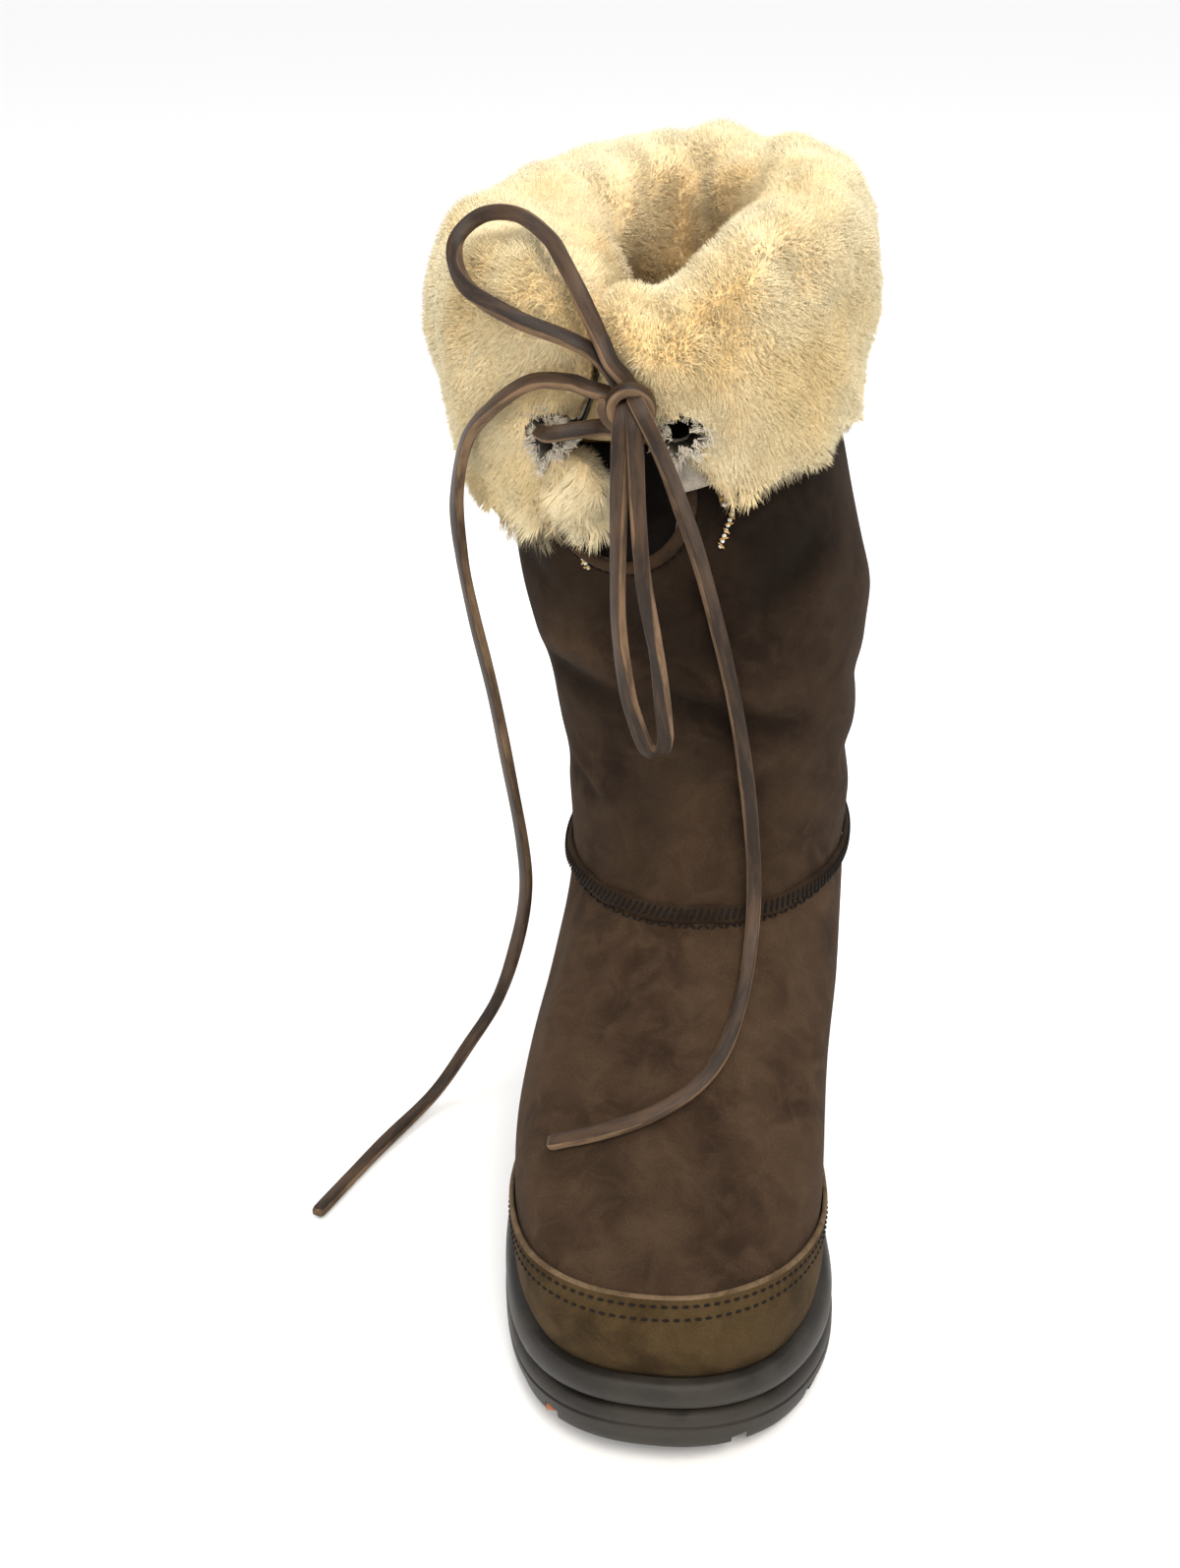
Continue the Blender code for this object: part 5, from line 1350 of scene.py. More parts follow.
def hole_rims(body):
    """The two lace holes, torn through hide and fleece: a ragged felted rim with frayed fibres."""
    rng = np.random.default_rng(29)
    for number, (middle, way) in enumerate(hole_places()):
        level = unit(np.array([-way[1], way[0], 0.0]))
        away = body.reshape(-1, 3) - middle
        flat = np.hypot(away @ level, away[:, 2])
        ahead = away @ way
        near = (flat < 0.010) & (flat > 0.004) & (ahead > 0) & (ahead < 0.02)
        thick = float(np.median(ahead[near])) + 0.0012 if near.any() else 0.005
        a = np.linspace(0, 2 * math.pi, RIM_COLUMNS + 1)[:-1]
        ragged = 0.0007 * np.sin(3 * a + 1.3 + number) + 0.0006 * np.sin(7 * a + 2.0)
        ragged = ragged + 0.0004 * np.sin(13 * a)
        outer, inner = [], []
        for radius, forward, loose in HOLE_RIM:
            forward = forward * thick
            for rows, more in ((outer, 0.0), (inner, 0.0005)):
                r = (radius + more + loose * ragged)[:, None]
                turned = np.cos(a)[:, None] * level + 1.15 * np.sin(a)[:, None] * UP
                rows.append(middle + r * turned + (forward - more) * way)
        points, faces = shell(outer, inner, True)
        label = ("outer", "inner")[number]
        # The funnel is painted darker towards its depth: painted shade inside the hole.
        funnel_painted_shade = np.interp(even(0, 1, len(HOLE_RIM)), (0, 0.35, 0.7, 1), (-1.15, -0.9, -0.1, 0.15))
        shade = np.tile(np.repeat(funnel_painted_shade, RIM_COLUMNS), 2)
        piece = add_mesh("hole_rim_" + label, points, faces, skin_side, "cream_fur", (), {"shade": shade})
        outward(piece)
        count = RIM_FIBRES
        pick = rng.integers(0, RIM_COLUMNS, count)
        rim = np.array(outer[4])[pick] + rng.normal(size=(count, 3)) * 0.0006
        radial = unit(rim - middle - ((rim - middle) @ way)[:, None] * way)
        lie = unit(0.75 * radial + 0.45 * way + 0.45 * rng.normal(size=(count, 3)))
        facing = np.tile(way, (count, 1))
        length = rng.uniform(0.0012, 0.0030, count)
        spikes("hole_fray_" + label, rim, lie, facing, length, grey_wool, rng)


def finer(grid, times):
    """A grid of points with more rows and columns, on smooth curves through the given ones."""
    for axis in (0, 1):
        grid = np.swapaxes(grid, 0, axis)
        ends = np.concatenate([2 * grid[:1] - grid[1:2], grid, 2 * grid[-1:] - grid[-2:-1]])
        t = (np.arange(times) / times).reshape(1, -1, 1, 1)
        a, b, c, d = (ends[k : len(ends) - 3 + k][:, None] for k in range(4))
        fine = 0.5 * (
            2 * b + (c - a) * t + (2 * a - 5 * b + 4 * c - d) * t**2 + (3 * b - a - 3 * c + d) * t**3
        )
        grid = np.concatenate([fine.reshape(-1, *grid.shape[1:]), grid[-1:]])
        grid = np.swapaxes(grid, 0, axis)
    return grid


def grid_normals(grid):
    along = np.gradient(grid, axis=1)
    up = np.gradient(grid, axis=0)
    return unit(np.cross(along, up))


def collar_bearing(points):
    """Direction of a point from the middle of the collar in degrees, 0 at the toe and 90 on the inside."""
    middle = (upper_point(90.0, COLLAR_HEIGHT) + upper_point(270.0, COLLAR_HEIGHT)) / 2
    return np.degrees(np.arctan2(points[..., 0] - middle[0], -(points[..., 1] - middle[1])))


def drooped(points):
    """Lets the fold's corner beside the throat sink and lean forward a little."""
    share = bump(half_turn(collar_bearing(points) - DROOP_BEARING), 0.0, DROOP_SPREAD)
    share = DROOP * share * ease((points[..., 2] - DROOP_FROM) / DROOP_OVER)
    return points + share[..., None] * np.array([0.0, -0.10, -1.0])


def waves(points, size, seed, count=7):
    """Smooth noise in space, from a few plane waves of about one size, between about -1 and 1."""
    rng = np.random.default_rng(seed)
    ways = unit(rng.normal(size=(count, 3))) * (2 * math.pi / size) * rng.uniform(0.7, 1.35, (count, 1))
    return np.sin(points @ ways.T + rng.uniform(0, 2 * math.pi, count)).sum(-1) / math.sqrt(count / 2)


BODY_SHARE = 0.80
WOOL_HOLE_RADIUS = HOLE_RADIUS + 0.0024


def add_cuff():
    """The cuff's wool: a dense lumpy body, and fibres that stand out of it."""
    outer, inner = cuff_frame()
    outer, inner = drooped(finer(outer, 6)), drooped(finer(inner, 6))
    depth = outer - inner
    thick = length_of(depth)
    lump = 0.0009 * waves(outer, 0.030, 3)[..., None] + 0.0003 * waves(outer, 0.010, 4)[..., None]
    body = inner + depth * BODY_SHARE + depth / np.maximum(thick, 1e-6) * lump * np.clip(thick / 0.008, 0, 1)
    points, faces = shell(body, inner, False)
    for middle, way in hole_places():
        cuts = hole_opening(middle, way, WOOL_HOLE_RADIUS)
        near = cuts[0](points[faces].mean(axis=1))
        faces = faces[~near]
    points, faces = without_loose(points, faces)
    add_mesh(
        "cuff_wool_body", points, faces, cream_wool, "cream_fur", ("cuff_fur",), wool_tones(len(points), 0.5)
    )
    rings = tuft_rings()
    loop = rings[:, :-1]
    ends = np.stack([np.repeat(loop[k].mean(axis=0)[None], loop.shape[1], 0) for k in (0, -1)])
    whole = np.concatenate([ends[:1] * 0.98 + loop[:1] * 0.02, loop, ends[1:] * 0.98 + loop[-1:] * 0.02])
    points, faces = stacked(whole)
    tones = wool_tones(len(points), 0.5)
    outward(add_mesh("cuff_wool_corner", points, faces, cream_wool, "cream_fur", (), tones))
    hole_rims(body)
    add_wool(body, inner, rings)


WOOL_PARTS = ("front_inner", "back_inner", "back_outer", "front_outer")
FIBRES_EACH = 46000
FIBRE_LENGTH = 0.0036
FIBRE_RADIUS = 0.00025
# The wool parts along the two front edges, where one flap crosses the other: there its fibres are shorter and
# painted darker, as painted shade in the parting.
PARTING_REACH = 0.0042


def add_wool(body, inner, tuft):
    """Fibres on the cuff, in four pieces round the boot. Each is a thin three-sided spike."""
    rng = np.random.default_rng(17)
    rows, columns = body.shape[:2]
    normals = grid_normals(body)
    outside = 1 - np.linspace(0, 1, rows)[:, None] * np.ones((1, columns))
    # The two front edges and the hem are closed strips of the body, and carry wool too.
    strips = [(body, normals, outside)]
    hem = np.stack([inner[0] * (1 - k) + body[0] * k for k in (0.0, 0.5, 1.0)])
    strips.append((hem, grid_normals(hem), np.full(hem.shape[:2], 1.25)))
    for column, flip in ((0, 1), (-1, -1)):
        side = np.stack([inner[:, column] * (1 - k) + body[:, column] * k for k in (0.0, 0.5, 1.0)], 1)
        strips.append((side, flip * grid_normals(side[:, ::flip])[:, ::flip], outside[:, :3]))
    tuft_normals = grid_normals(tuft)
    if ((tuft - tuft.mean(axis=1, keepdims=True)) * tuft_normals).sum() < 0:
        tuft_normals = -tuft_normals
    tuft_low = np.linspace(0.75, 1.3, len(tuft))[:, None] * np.ones((1, tuft.shape[1]))
    strips.append((tuft, tuft_normals, tuft_low))
    roots = []
    for grid, normal, down in strips:
        a, b, c, d = grid[:-1, :-1], grid[:-1, 1:], grid[1:, 1:], grid[1:, :-1]
        area = 0.5 * np.linalg.norm(np.cross(c - a, d - b), axis=-1)
        roots.append((grid, normal, down, area))
    total = sum(item[3].sum() for item in roots)
    count = FIBRES_EACH * len(WOOL_PARTS)
    places, facings, lows = [], [], []
    for grid, normal, down, area in roots:
        wanted = int(count * area.sum() / total)
        cell = rng.choice(area.size, wanted, p=area.ravel() / area.sum())
        r, c = np.unravel_index(cell, area.shape)
        u, v = rng.random((2, wanted, 1))

        def mixed(values):
            return (
                values[r, c] * (1 - u) * (1 - v) + values[r, c + 1] * u * (1 - v)
                + values[r + 1, c + 1] * u * v + values[r + 1, c] * (1 - u) * v
            )

        places.append(mixed(grid))
        facings.append(unit(mixed(normal)))
        lows.append(mixed(down[..., None])[:, 0])
    place, facing, low = np.vstack(places), np.vstack(facings), np.concatenate(lows)
    clear = np.ones(len(place), bool)
    for middle, way in hole_places():
        clear &= ~hole_opening(middle, way, WOOL_HOLE_RADIUS)[0](place)
    place, facing, low = place[clear], facing[clear], low[clear]
    swirl = np.stack([waves(place, 0.016, 21 + k) for k in range(3)], -1)
    fine = np.stack([waves(place, 0.0042, 31 + k) for k in range(3)], -1)
    fall = np.clip((low - 0.35) / 0.65, 0, 1.4)[:, None] * np.array([0.0, 0.0, -0.62])
    stringy = np.clip((low - 0.80) / 0.35, 0, 1)[:, None]
    wander = (0.06 + 0.24 * stringy) * swirl + (0.015 + 0.255 * stringy) * fine
    wander = wander + 0.075 * rng.normal(size=place.shape)
    way = unit(facing + fall + wander)
    length = FIBRE_LENGTH * (1 + 0.07 * waves(place, 0.016, 41) + 0.10 * rng.normal(size=len(place)))
    length = np.clip(length, 0.45 * FIBRE_LENGTH, 1.7 * FIBRE_LENGTH)
    length = length * (1 + 0.9 * np.clip(low - 0.88, 0, 0.4) / 0.4)
    bearing = collar_bearing(place) % 360
    length = length * (1 + 0.9 * bump(bearing, 328.0, 16.0) * np.clip((low - 0.90) / 0.2, 0, 1))
    parted = np.zeros(len(place))
    for front in (body[:, 0], body[:, -1]):
        for point in front[::2]:
            parted = np.maximum(parted, np.exp(-(((place - point) ** 2).sum(-1)) / PARTING_REACH**2))
    length = length * (1 - 0.5 * parted)
    # Painted shade: fibres on the rows inside the collar and along the parting are painted darker.
    light = (1 - 0.55 * np.clip((0.34 - low) / 0.22, 0, 1)) * (1 - 0.45 * parted)
    for number, label in enumerate(WOOL_PARTS):
        chosen = (bearing // 90).astype(int) == number
        spikes(
            "cuff_wool_" + label, place[chosen], way[chosen], facing[chosen], length[chosen], cream_wool, rng,
            light[chosen],
        )


def spikes(name, place, way, facing, length, material, rng, light=1.0):
    """Three-sided fibres: place, way, length, and the facing of the wool they stand in, which shades them."""
    count = len(place)
    u = unit(np.cross(way, rng.normal(size=way.shape)))
    v = np.cross(way, u)
    corners = []
    for k in range(3):
        a = 2 * math.pi * k / 3
        corners.append(place - 0.0006 * way + FIBRE_RADIUS * (math.cos(a) * u + math.sin(a) * v))
    corners.append(place + length[:, None] * way)
    points = np.stack(corners, 1).reshape(-1, 3)
    first = 4 * np.arange(count)[:, None]
    faces = np.concatenate([first + np.array([k, (k + 1) % 3, 3]) for k in range(3)])
    # light below 1 lowers the tip value, which paints a fibre in its darker root colours: painted shade.
    tip = (np.array([[0.55, 0.55, 0.55, 1.0]]) * (np.ones(count) * light)[:, None]).ravel()
    own = np.repeat(rng.random(count), 4)
    piece = add_mesh(name, points, faces, material, "cream_fur", (), {"tip": tip, "own_tone": own})
    sides = np.stack([unit(c - place) for c in corners[:3]] + [way], 1)
    shading = unit(0.92 * facing[:, None, :] + 0.08 * sides).reshape(-1, 3)
    piece.data.normals_split_custom_set_from_vertices([tuple(n) for n in shading])
    return piece


def edge_height(turn, plane):
    """Section height at which an overlay's slanting top edge meets the hide at each turn."""
    low, high = np.full(turn.shape, FOOT_BOTTOM), np.full(turn.shape, INSTEP_HEIGHT - 0.006)
    return halved(low, high, lambda height: plane(on_upper(turn, height, OVERLAY_GAP + OVERLAY)) < 0)


def cap_plane(p):
    toe_top = footbed_height(1.0) + CAP_HEIGHT
    slope = (toe_top - footbed_height(CAP_END) - 0.003) / ((1.0 - CAP_END) * SOLE_LENGTH)
    return p[..., 2] - toe_top + slope * (p[..., 1] - MODEL_SHIFT[1] + HEEL_Y)


def counter_plane(p):
    slope = (COUNTER_HEIGHT - 0.012) / (0.30 * SOLE_LENGTH)
    return p[..., 2] - HEEL_STACK - COUNTER_HEIGHT + slope * (HEEL_Y - p[..., 1] + MODEL_SHIFT[1])


def below_edge(turn, top, distance):
    """Section height that lies a distance down the hide from an edge."""
    steps = np.linspace(0, 0.014, 29)
    heights = top[None, :] - steps[:, None]
    line = on_upper(turn[None, :], np.maximum(heights, FOOT_BOTTOM), 0.0)
    gone = np.cumsum(np.linalg.norm(np.diff(line, axis=0), axis=-1), axis=0)
    run = np.concatenate([np.zeros((1, len(turn))), gone])
    return np.array([np.interp(distance, run[:, k], heights[:, k]) for k in range(len(turn))])


# Distances of an overlay's two rows of stitches from its edge.
OVERLAY_ROWS = (0.0034, 0.0068)


def overlay(name, node, around, plane, material):
    """Suede overlay between the sole and its slanting edge, with a pale cut edge and two rows of stitches."""
    top = edge_height(around, plane)
    low = FOOT_BOTTOM + SOLE_CLEARANCE
    rim = 0.0013
    outer, inner = [], []
    drop = np.maximum(top - low - rim, 0.0004)
    heights = [low + share * drop for share in even(0.0, 1.0, 14)]
    heights += [low + drop + k * rim for k in (0.12, 0.56, 1.0)]
    for number, height in enumerate(heights):
        drawn_in = OVERLAY * (1.0 if number < len(heights) - 1 else 0.62)
        outer.append(on_skin(around, height, OVERLAY_GAP + drawn_in))
        inner.append(on_skin(around, height, OVERLAY_GAP))
    points, faces = shell(outer, inner, False)
    half = len(points) // 2
    piece = add_mesh(name, points, faces, material, "olive_suede", (node,), {"shade": 0.0})
    piece.data.materials.append(cut_suede_edge)
    rows, columns = len(heights), len(around)
    edge = (rows - 3) * columns
    for face in piece.data.polygons:
        corners = list(face.vertices)
        if all((c % half) >= edge for c in corners):
            face.material_index = 1
    for row, distance in enumerate(OVERLAY_ROWS):
        height = below_edge(around, top, distance)
        line = on_skin(around, height, OVERLAY_GAP + OVERLAY + 0.0001)
        good = height > low + 0.002
        stitches(f"{name}_stitches_{row + 1}", line[good], 0.0034, 0.0024, 0.0011, dark_thread)


def stitches(name, line, pitch, length, thick, thread, tilt=0.0, facing=None, slot="brown_suede", swap=True):
    """A row of stitches along a line of points that lie on the boot. tilt turns each stitch across the row by
    an angle, to one side and the other by turns where swap is set, which makes a zigzag."""
    run = run_along(line)
    count = max(2, int(run[-1] / pitch))
    at = (np.arange(count) + 0.5) * run[-1] / count

    def along_line(values):
        return np.stack([np.interp(at, run, values[:, k]) for k in range(3)], -1)

    place = along_line(line)
    way = unit(along_line(np.gradient(line, axis=0)))
    if facing is None:
        axis = np.array([MODEL_SHIFT[0], 0.0, 0.0])
        facing_here = place - axis
        facing_here[:, 1] = place[:, 1] - np.clip(place[:, 1], -0.055, 0.06)
        facing_here[:, 2] = 0.35 * length_of(facing_here[:, :2])[:, 0]
    else:
        facing_here = along_line(facing)
    up = unit(facing_here - (facing_here * way).sum(-1, keepdims=True) * way)
    across = np.cross(up, way)
    a = np.radians(tilt) * np.where((np.arange(count) % 2 == 0) | (not swap), 1, -1)[:, None]
    turned = np.cos(a) * way + np.sin(a) * across
    repeat(name, place, turned, up, (length, thick, thick * 0.8), thread, slot)


def repeat_tree():
    """Geometry Nodes that put one small rounded grain on each point, along its own way and facing."""
    tree = bpy.data.node_groups.new("rounded_grains", "GeometryNodeTree")
    tree.interface.new_socket("Geometry", in_out="INPUT", socket_type="NodeSocketGeometry")
    for label in ("Length", "Width", "Thickness"):
        tree.interface.new_socket(label, in_out="INPUT", socket_type="NodeSocketFloat")
    tree.interface.new_socket("Finish", in_out="INPUT", socket_type="NodeSocketMaterial")
    tree.interface.new_socket("Geometry", in_out="OUTPUT", socket_type="NodeSocketGeometry")
    given = add_node(tree, "NodeGroupInput")
    grain = add_node(tree, "GeometryNodeMeshUVSphere", {"Segments": 6, "Rings": 5, "Radius": 0.5})
    smooth = add_node(tree, "GeometryNodeSetShadeSmooth", links={"Geometry": grain.outputs["Mesh"]})
    way = add_node(tree, "GeometryNodeInputNamedAttribute", {"Name": "way"}, data_type="FLOAT_VECTOR")
    facing = add_node(tree, "GeometryNodeInputNamedAttribute", {"Name": "facing"}, data_type="FLOAT_VECTOR")
    along = add_node(
        tree, "FunctionNodeAlignRotationToVector", links={"Vector": way.outputs["Attribute"]}, axis="X"
    )
    turned = add_node(
        tree, "FunctionNodeAlignRotationToVector",
        links={"Rotation": along.outputs["Rotation"], "Vector": facing.outputs["Attribute"]},
        axis="Z", pivot_axis="X",
    )
    size = add_node(
        tree, "ShaderNodeCombineXYZ",
        links={"X": given.outputs["Length"], "Y": given.outputs["Width"], "Z": given.outputs["Thickness"]},
    )
    placed = add_node(
        tree, "GeometryNodeInstanceOnPoints",
        links={
            "Points": given.outputs["Geometry"], "Instance": smooth.outputs["Geometry"],
            "Rotation": turned.outputs["Rotation"], "Scale": size.outputs["Vector"],
        },
    )
    real = add_node(tree, "GeometryNodeRealizeInstances", links={"Geometry": placed.outputs["Instances"]})
    finished = add_node(
        tree, "GeometryNodeSetMaterial",
        links={"Geometry": real.outputs["Geometry"], "Material": given.outputs["Finish"]},
    )
    add_node(tree, "NodeGroupOutput", links={"Geometry": finished.outputs["Geometry"]})
    return tree


GRAINS = repeat_tree()


def repeat(name, place, way, facing, size, material, slot):
    """Small rounded grains on points: stitches, beads. size is (length, width, thickness) in metres."""
    mesh = bpy.data.meshes.new(name)
    mesh.vertices.add(len(place))
    mesh.vertices.foreach_set("co", np.asarray(place, float).ravel())
    for key, values in (("way", way), ("facing", facing)):
        layer = mesh.attributes.new(key, "FLOAT_VECTOR", "POINT")
        layer.data.foreach_set("vector", np.asarray(values, float).ravel())
    piece = new_object(name, mesh)
    modifier = piece.modifiers.new("grains", "NODES")
    modifier.node_group = GRAINS
    wanted = dict(zip(("Length", "Width", "Thickness"), size), Finish=material)
    for socket in GRAINS.interface.items_tree:
        if socket.in_out == "INPUT" and socket.name in wanted:
            modifier[socket.identifier] = wanted[socket.name]
    apply_modifiers(piece)
    bpy.data.meshes.remove(mesh)
    piece.data.materials.clear()
    piece.data.materials.append(material)
    declare(piece, slot)
    return piece


def add_seam():
    """The whipped seam between vamp and shaft: a raised welt, pinched where its stitches bite."""
    around = ring(360)
    run = np.radians(around) * 0.062
    outer, inner = [], []
    for share in even(-1.0, 1.0, 11):
        z = INSTEP_HEIGHT + share * SEAM_WIDTH * 0.34
        round_over = 0.30 + 0.70 * (1 - abs(share) ** 2.2)
        bite = 1 - 0.16 * (0.5 + 0.5 * np.sin(2 * math.pi * run / 0.0031 + 2.0 * share)) * (1 - abs(share))
        lift = 0.0005 * np.sin(around * 0.21) * np.sin(around * 0.077 + 1)
        height = z + lift
        outer.append(on_skin(around, height, GAP + SEAM_PROUD * round_over * bite))
        inner.append(on_skin(around, height, GAP + around * 0))
    points, faces = shell(outer, inner, True)
    # The welt is painted darker than the suede round it: painted shade along the seam.
    add_mesh("instep_welt", points, faces, brown_suede, "brown_suede", ("instep_seam",), {"shade": -0.50})
    fine = np.linspace(0, 360, 721)
    facing = upper_normal(fine, INSTEP_HEIGHT)
    crown = on_skin(fine, INSTEP_HEIGHT, GAP + SEAM_PROUD * 0.98)
    stitches("welt_whip_stitches", crown, 0.0024, 0.0050, 0.0013, dark_thread, 68.0, facing, swap=False)
    under = on_skin(fine, INSTEP_HEIGHT - SEAM_WIDTH * 0.42, 0.0004)
    stitches("welt_lower_stitches", under, 0.0024, 0.0026, 0.0010, dark_thread, 40.0, facing)


def add_stay():
    """Strip over the back seam, stitched down along both its edges."""
    low = INSTEP_HEIGHT + SEAM_WIDTH / 2 + 0.001
    high = COLLAR_HEIGHT - float(max(cuff_drop(170.0), cuff_drop(190.0))) - BRAID_BELOW * BRAID_WIDTH - 0.001
    middle = upper_point(180.0, (low + high) / 2)[0]
    heights = even(low, high, 60)
    columns = 15

    def column(z, aside):
        start, end = np.full(np.shape(z), 160.0), np.full(np.shape(z), 200.0)
        return halved(start, end, lambda turn: upper_point(turn, z)[..., 0] > middle + aside, 24)

    outer, inner = [], []
    for share in even(1.0, -1.0, columns):
        turn = column(heights, share * STAY_WIDTH / 2)
        thick = OVERLAY * (0.62 if abs(share) > 0.99 else 1.0)
        outer.append(on_skin(turn, heights, OVERLAY_GAP + thick))
        inner.append(on_skin(turn, heights, OVERLAY_GAP))
    outer, inner = (np.swapaxes(g, 0, 1) for g in (outer, inner))
    points, faces = shell(outer, inner, False)
    add_mesh("back_seam_stay", points, faces, brown_suede, "brown_suede", ("back_stay",), {"shade": 0.0})
    for number, aside in enumerate((-1, 1)):
        turn = column(heights, aside * (STAY_WIDTH / 2 - 0.0020))
        line = on_skin(turn, heights, OVERLAY_GAP + OVERLAY + 0.0001)
        away = skin_normal(turn, heights)
        stitches(f"back_stay_stitches_{number + 1}", line, 0.0031, 0.0022, 0.00075, dark_thread, 0.0, away)


def braid_turns():
    clear = THROAT_WIDTH / 2 + BINDING_WIDTH + BRAID_CLEARANCE
    drop = float(cuff_drop(THROAT_TURN))
    start, end = throat_place(clear, drop), throat_place(-clear, drop) + 360.0
    step = 360.0 / COLUMNS
    return math.ceil(start / step) * step, math.floor(end / step) * step


# Rows of stitches on the ribbon: how far up it they lie (0 its lower edge), height above it, and each
# stitch's pitch, length, thickness and tilt.
BRAID_ROWS = (
    {"name": "white_zigzag", "up": 0.56, "lift": 0.0002, "size": (0.0036, 0.0062, 0.0010), "tilt": 52.0},
    {"name": "gold_zigzag", "up": 0.56, "lift": 0.0, "size": (0.0018, 0.0040, 0.0007), "tilt": 60.0},
    {"name": "upper_cord", "up": 0.93, "lift": 0.0, "size": (0.0017, 0.0022, 0.0011), "tilt": 22.0},
    {"name": "lower_cord", "up": 0.16, "lift": 0.0, "size": (0.0017, 0.0022, 0.0011), "tilt": 22.0},
    {"name": "beads", "up": 0.03, "lift": 0.0002, "size": (0.0018, 0.0015, 0.0016), "tilt": 0.0},
)
WHITE_ROWS = ("white_zigzag", "beads")
LOOSE_BEADS = (0.0017, 0.0015, 0.0016)
LOOSE_GOLD = (0.0021, 0.0034, 0.0008)
# Trails of loose beads at the ribbon's ends: turn, height and distance out of points along each.
BRAID_TRAILS = (
    ("outer", ((-23.0, 0.2700, 0.0010), (-21.5, 0.2640, 0.0011), (-21.0, 0.2585, 0.0010),
               (-19.6, 0.2550, 0.0009))),
    ("inner", ((23.0, 0.2640, 0.0009), (26.5, 0.2700, 0.0011), (30.0, 0.2755, 0.0010))),
)


def add_braid():
    """Woven ribbon under the hem, with white thread in a zigzag and a beaded cord along its lower edge."""
    start, end = braid_turns()
    around = np.linspace(start, end, 300)

    def row(up, out):
        return on_skin(around, COLLAR_HEIGHT - cuff_drop(around) + (up - BRAID_BELOW) * BRAID_WIDTH, out)

    run = run_along(row(0.5, 0.0))
    shares = even(0.0, 1.0, 9)
    outer = np.array([row(s, GAP + BRAID_THICK * (0.7 if s in (0.0, 1.0) else 1.0)) for s in shares])
    inner = np.array([row(s, GAP) for s in shares])
    points, faces = shell(outer, inner, False)
    lie = np.zeros((len(shares), len(around), 3))
    lie[..., 0] = run[None, :]
    lie[..., 1] = shares[:, None] * BRAID_WIDTH
    lie = np.vstack([lie.reshape(-1, 3)] * 2)
    add_mesh("braid_ribbon", points, faces, gold_ribbon, "gold_ribbon", ("braid_trim",), {"lie": lie})
    facing = upper_normal(around, COLLAR_HEIGHT - cuff_drop(around))
    top = GAP + BRAID_THICK
    for kind in BRAID_ROWS:
        thread = white_thread if kind["name"] in WHITE_ROWS else gold_thread
        line = row(kind["up"], top + kind["lift"])
        stitches("braid_" + kind["name"], line, *kind["size"], thread, kind["tilt"], facing, "gold_ribbon")
    # The ribbon's cut ends beside the throat, where its beads and gold thread have come loose on the suede.
    for label, trail in BRAID_TRAILS:
        turn, height, out = (np.interp(even(0, 1, 24), even(0, 1, len(trail)), k) for k in zip(*trail))
        line = on_skin(turn, height, out)
        away = upper_normal(turn, height)
        stitches("braid_loose_beads_" + label, line, *LOOSE_BEADS, white_thread, 35.0, away, "gold_ribbon")
        line = line + 0.0006 * away
        stitches("braid_loose_gold_" + label, line, *LOOSE_GOLD, gold_thread, 64.0, away, "gold_ribbon")


def add_binding():
    """Rolled rim round the foot of the throat."""
    middle_drop = THROAT_DEPTH - THROAT_WIDTH / 2
    a = np.radians(np.linspace(-100, 100, 81))
    outer, inner = [], []
    for share in even(0.0, 1.0, 9):
        radius = THROAT_WIDTH / 2 + GAP + share * BINDING_WIDTH
        across, drop = radius * np.sin(a), middle_drop + radius * np.cos(a)
        turn = throat_place(across, drop)
        proud = BINDING_PROUD * (0.25 + 0.75 * math.sqrt(max(0.0, 1 - (2 * share - 1) ** 2)))
        outer.append(on_skin(turn, COLLAR_HEIGHT - drop, GAP + proud))
        inner.append(on_skin(turn, COLLAR_HEIGHT - drop, GAP + turn * 0))
    points, faces = shell(outer[::-1], inner[::-1], False)
    tone = {"shade": -0.15}
    outward(add_mesh("throat_rim", points, faces, brown_suede, "brown_suede", ("throat_binding",), tone))
    radius = THROAT_WIDTH / 2 + BINDING_WIDTH + 0.0014
    across, drop = radius * np.sin(a), middle_drop + radius * np.cos(a)
    turn = throat_place(across, drop)
    line = on_skin(turn, COLLAR_HEIGHT - drop, 0.0002)
    away = upper_normal(turn, COLLAR_HEIGHT - drop)
    stitches("throat_rim_stitches", line, 0.0031, 0.0022, 0.0007, dark_thread, 0.0, away)


def add_gusset():
    """Dark panel behind the throat, its suede painted near black: painted shade in the hollow behind the
    notch.
    """
    outer, inner = [], []
    for drop in even(GUSSET_LOW, GUSSET_HIGH, 26):
        turn = throat_place(0.0, drop) + np.linspace(-30, 30, 41)
        depth = gusset_depth(turn, np.full(turn.shape, drop))
        crumple = 0.0005 * np.sin(turn * 0.5 + drop * 300) * np.sin(drop * 420)
        outer.append(on_upper(turn, COLLAR_HEIGHT - drop, -depth - crumple))
        inner.append(on_upper(turn, COLLAR_HEIGHT - drop, -depth - crumple - 0.0014))
    points, faces = shell(outer, inner, False)
    add_mesh("throat_panel", points, faces, black_suede, "black_suede", ("throat_gusset",), {"shade": 0.0})


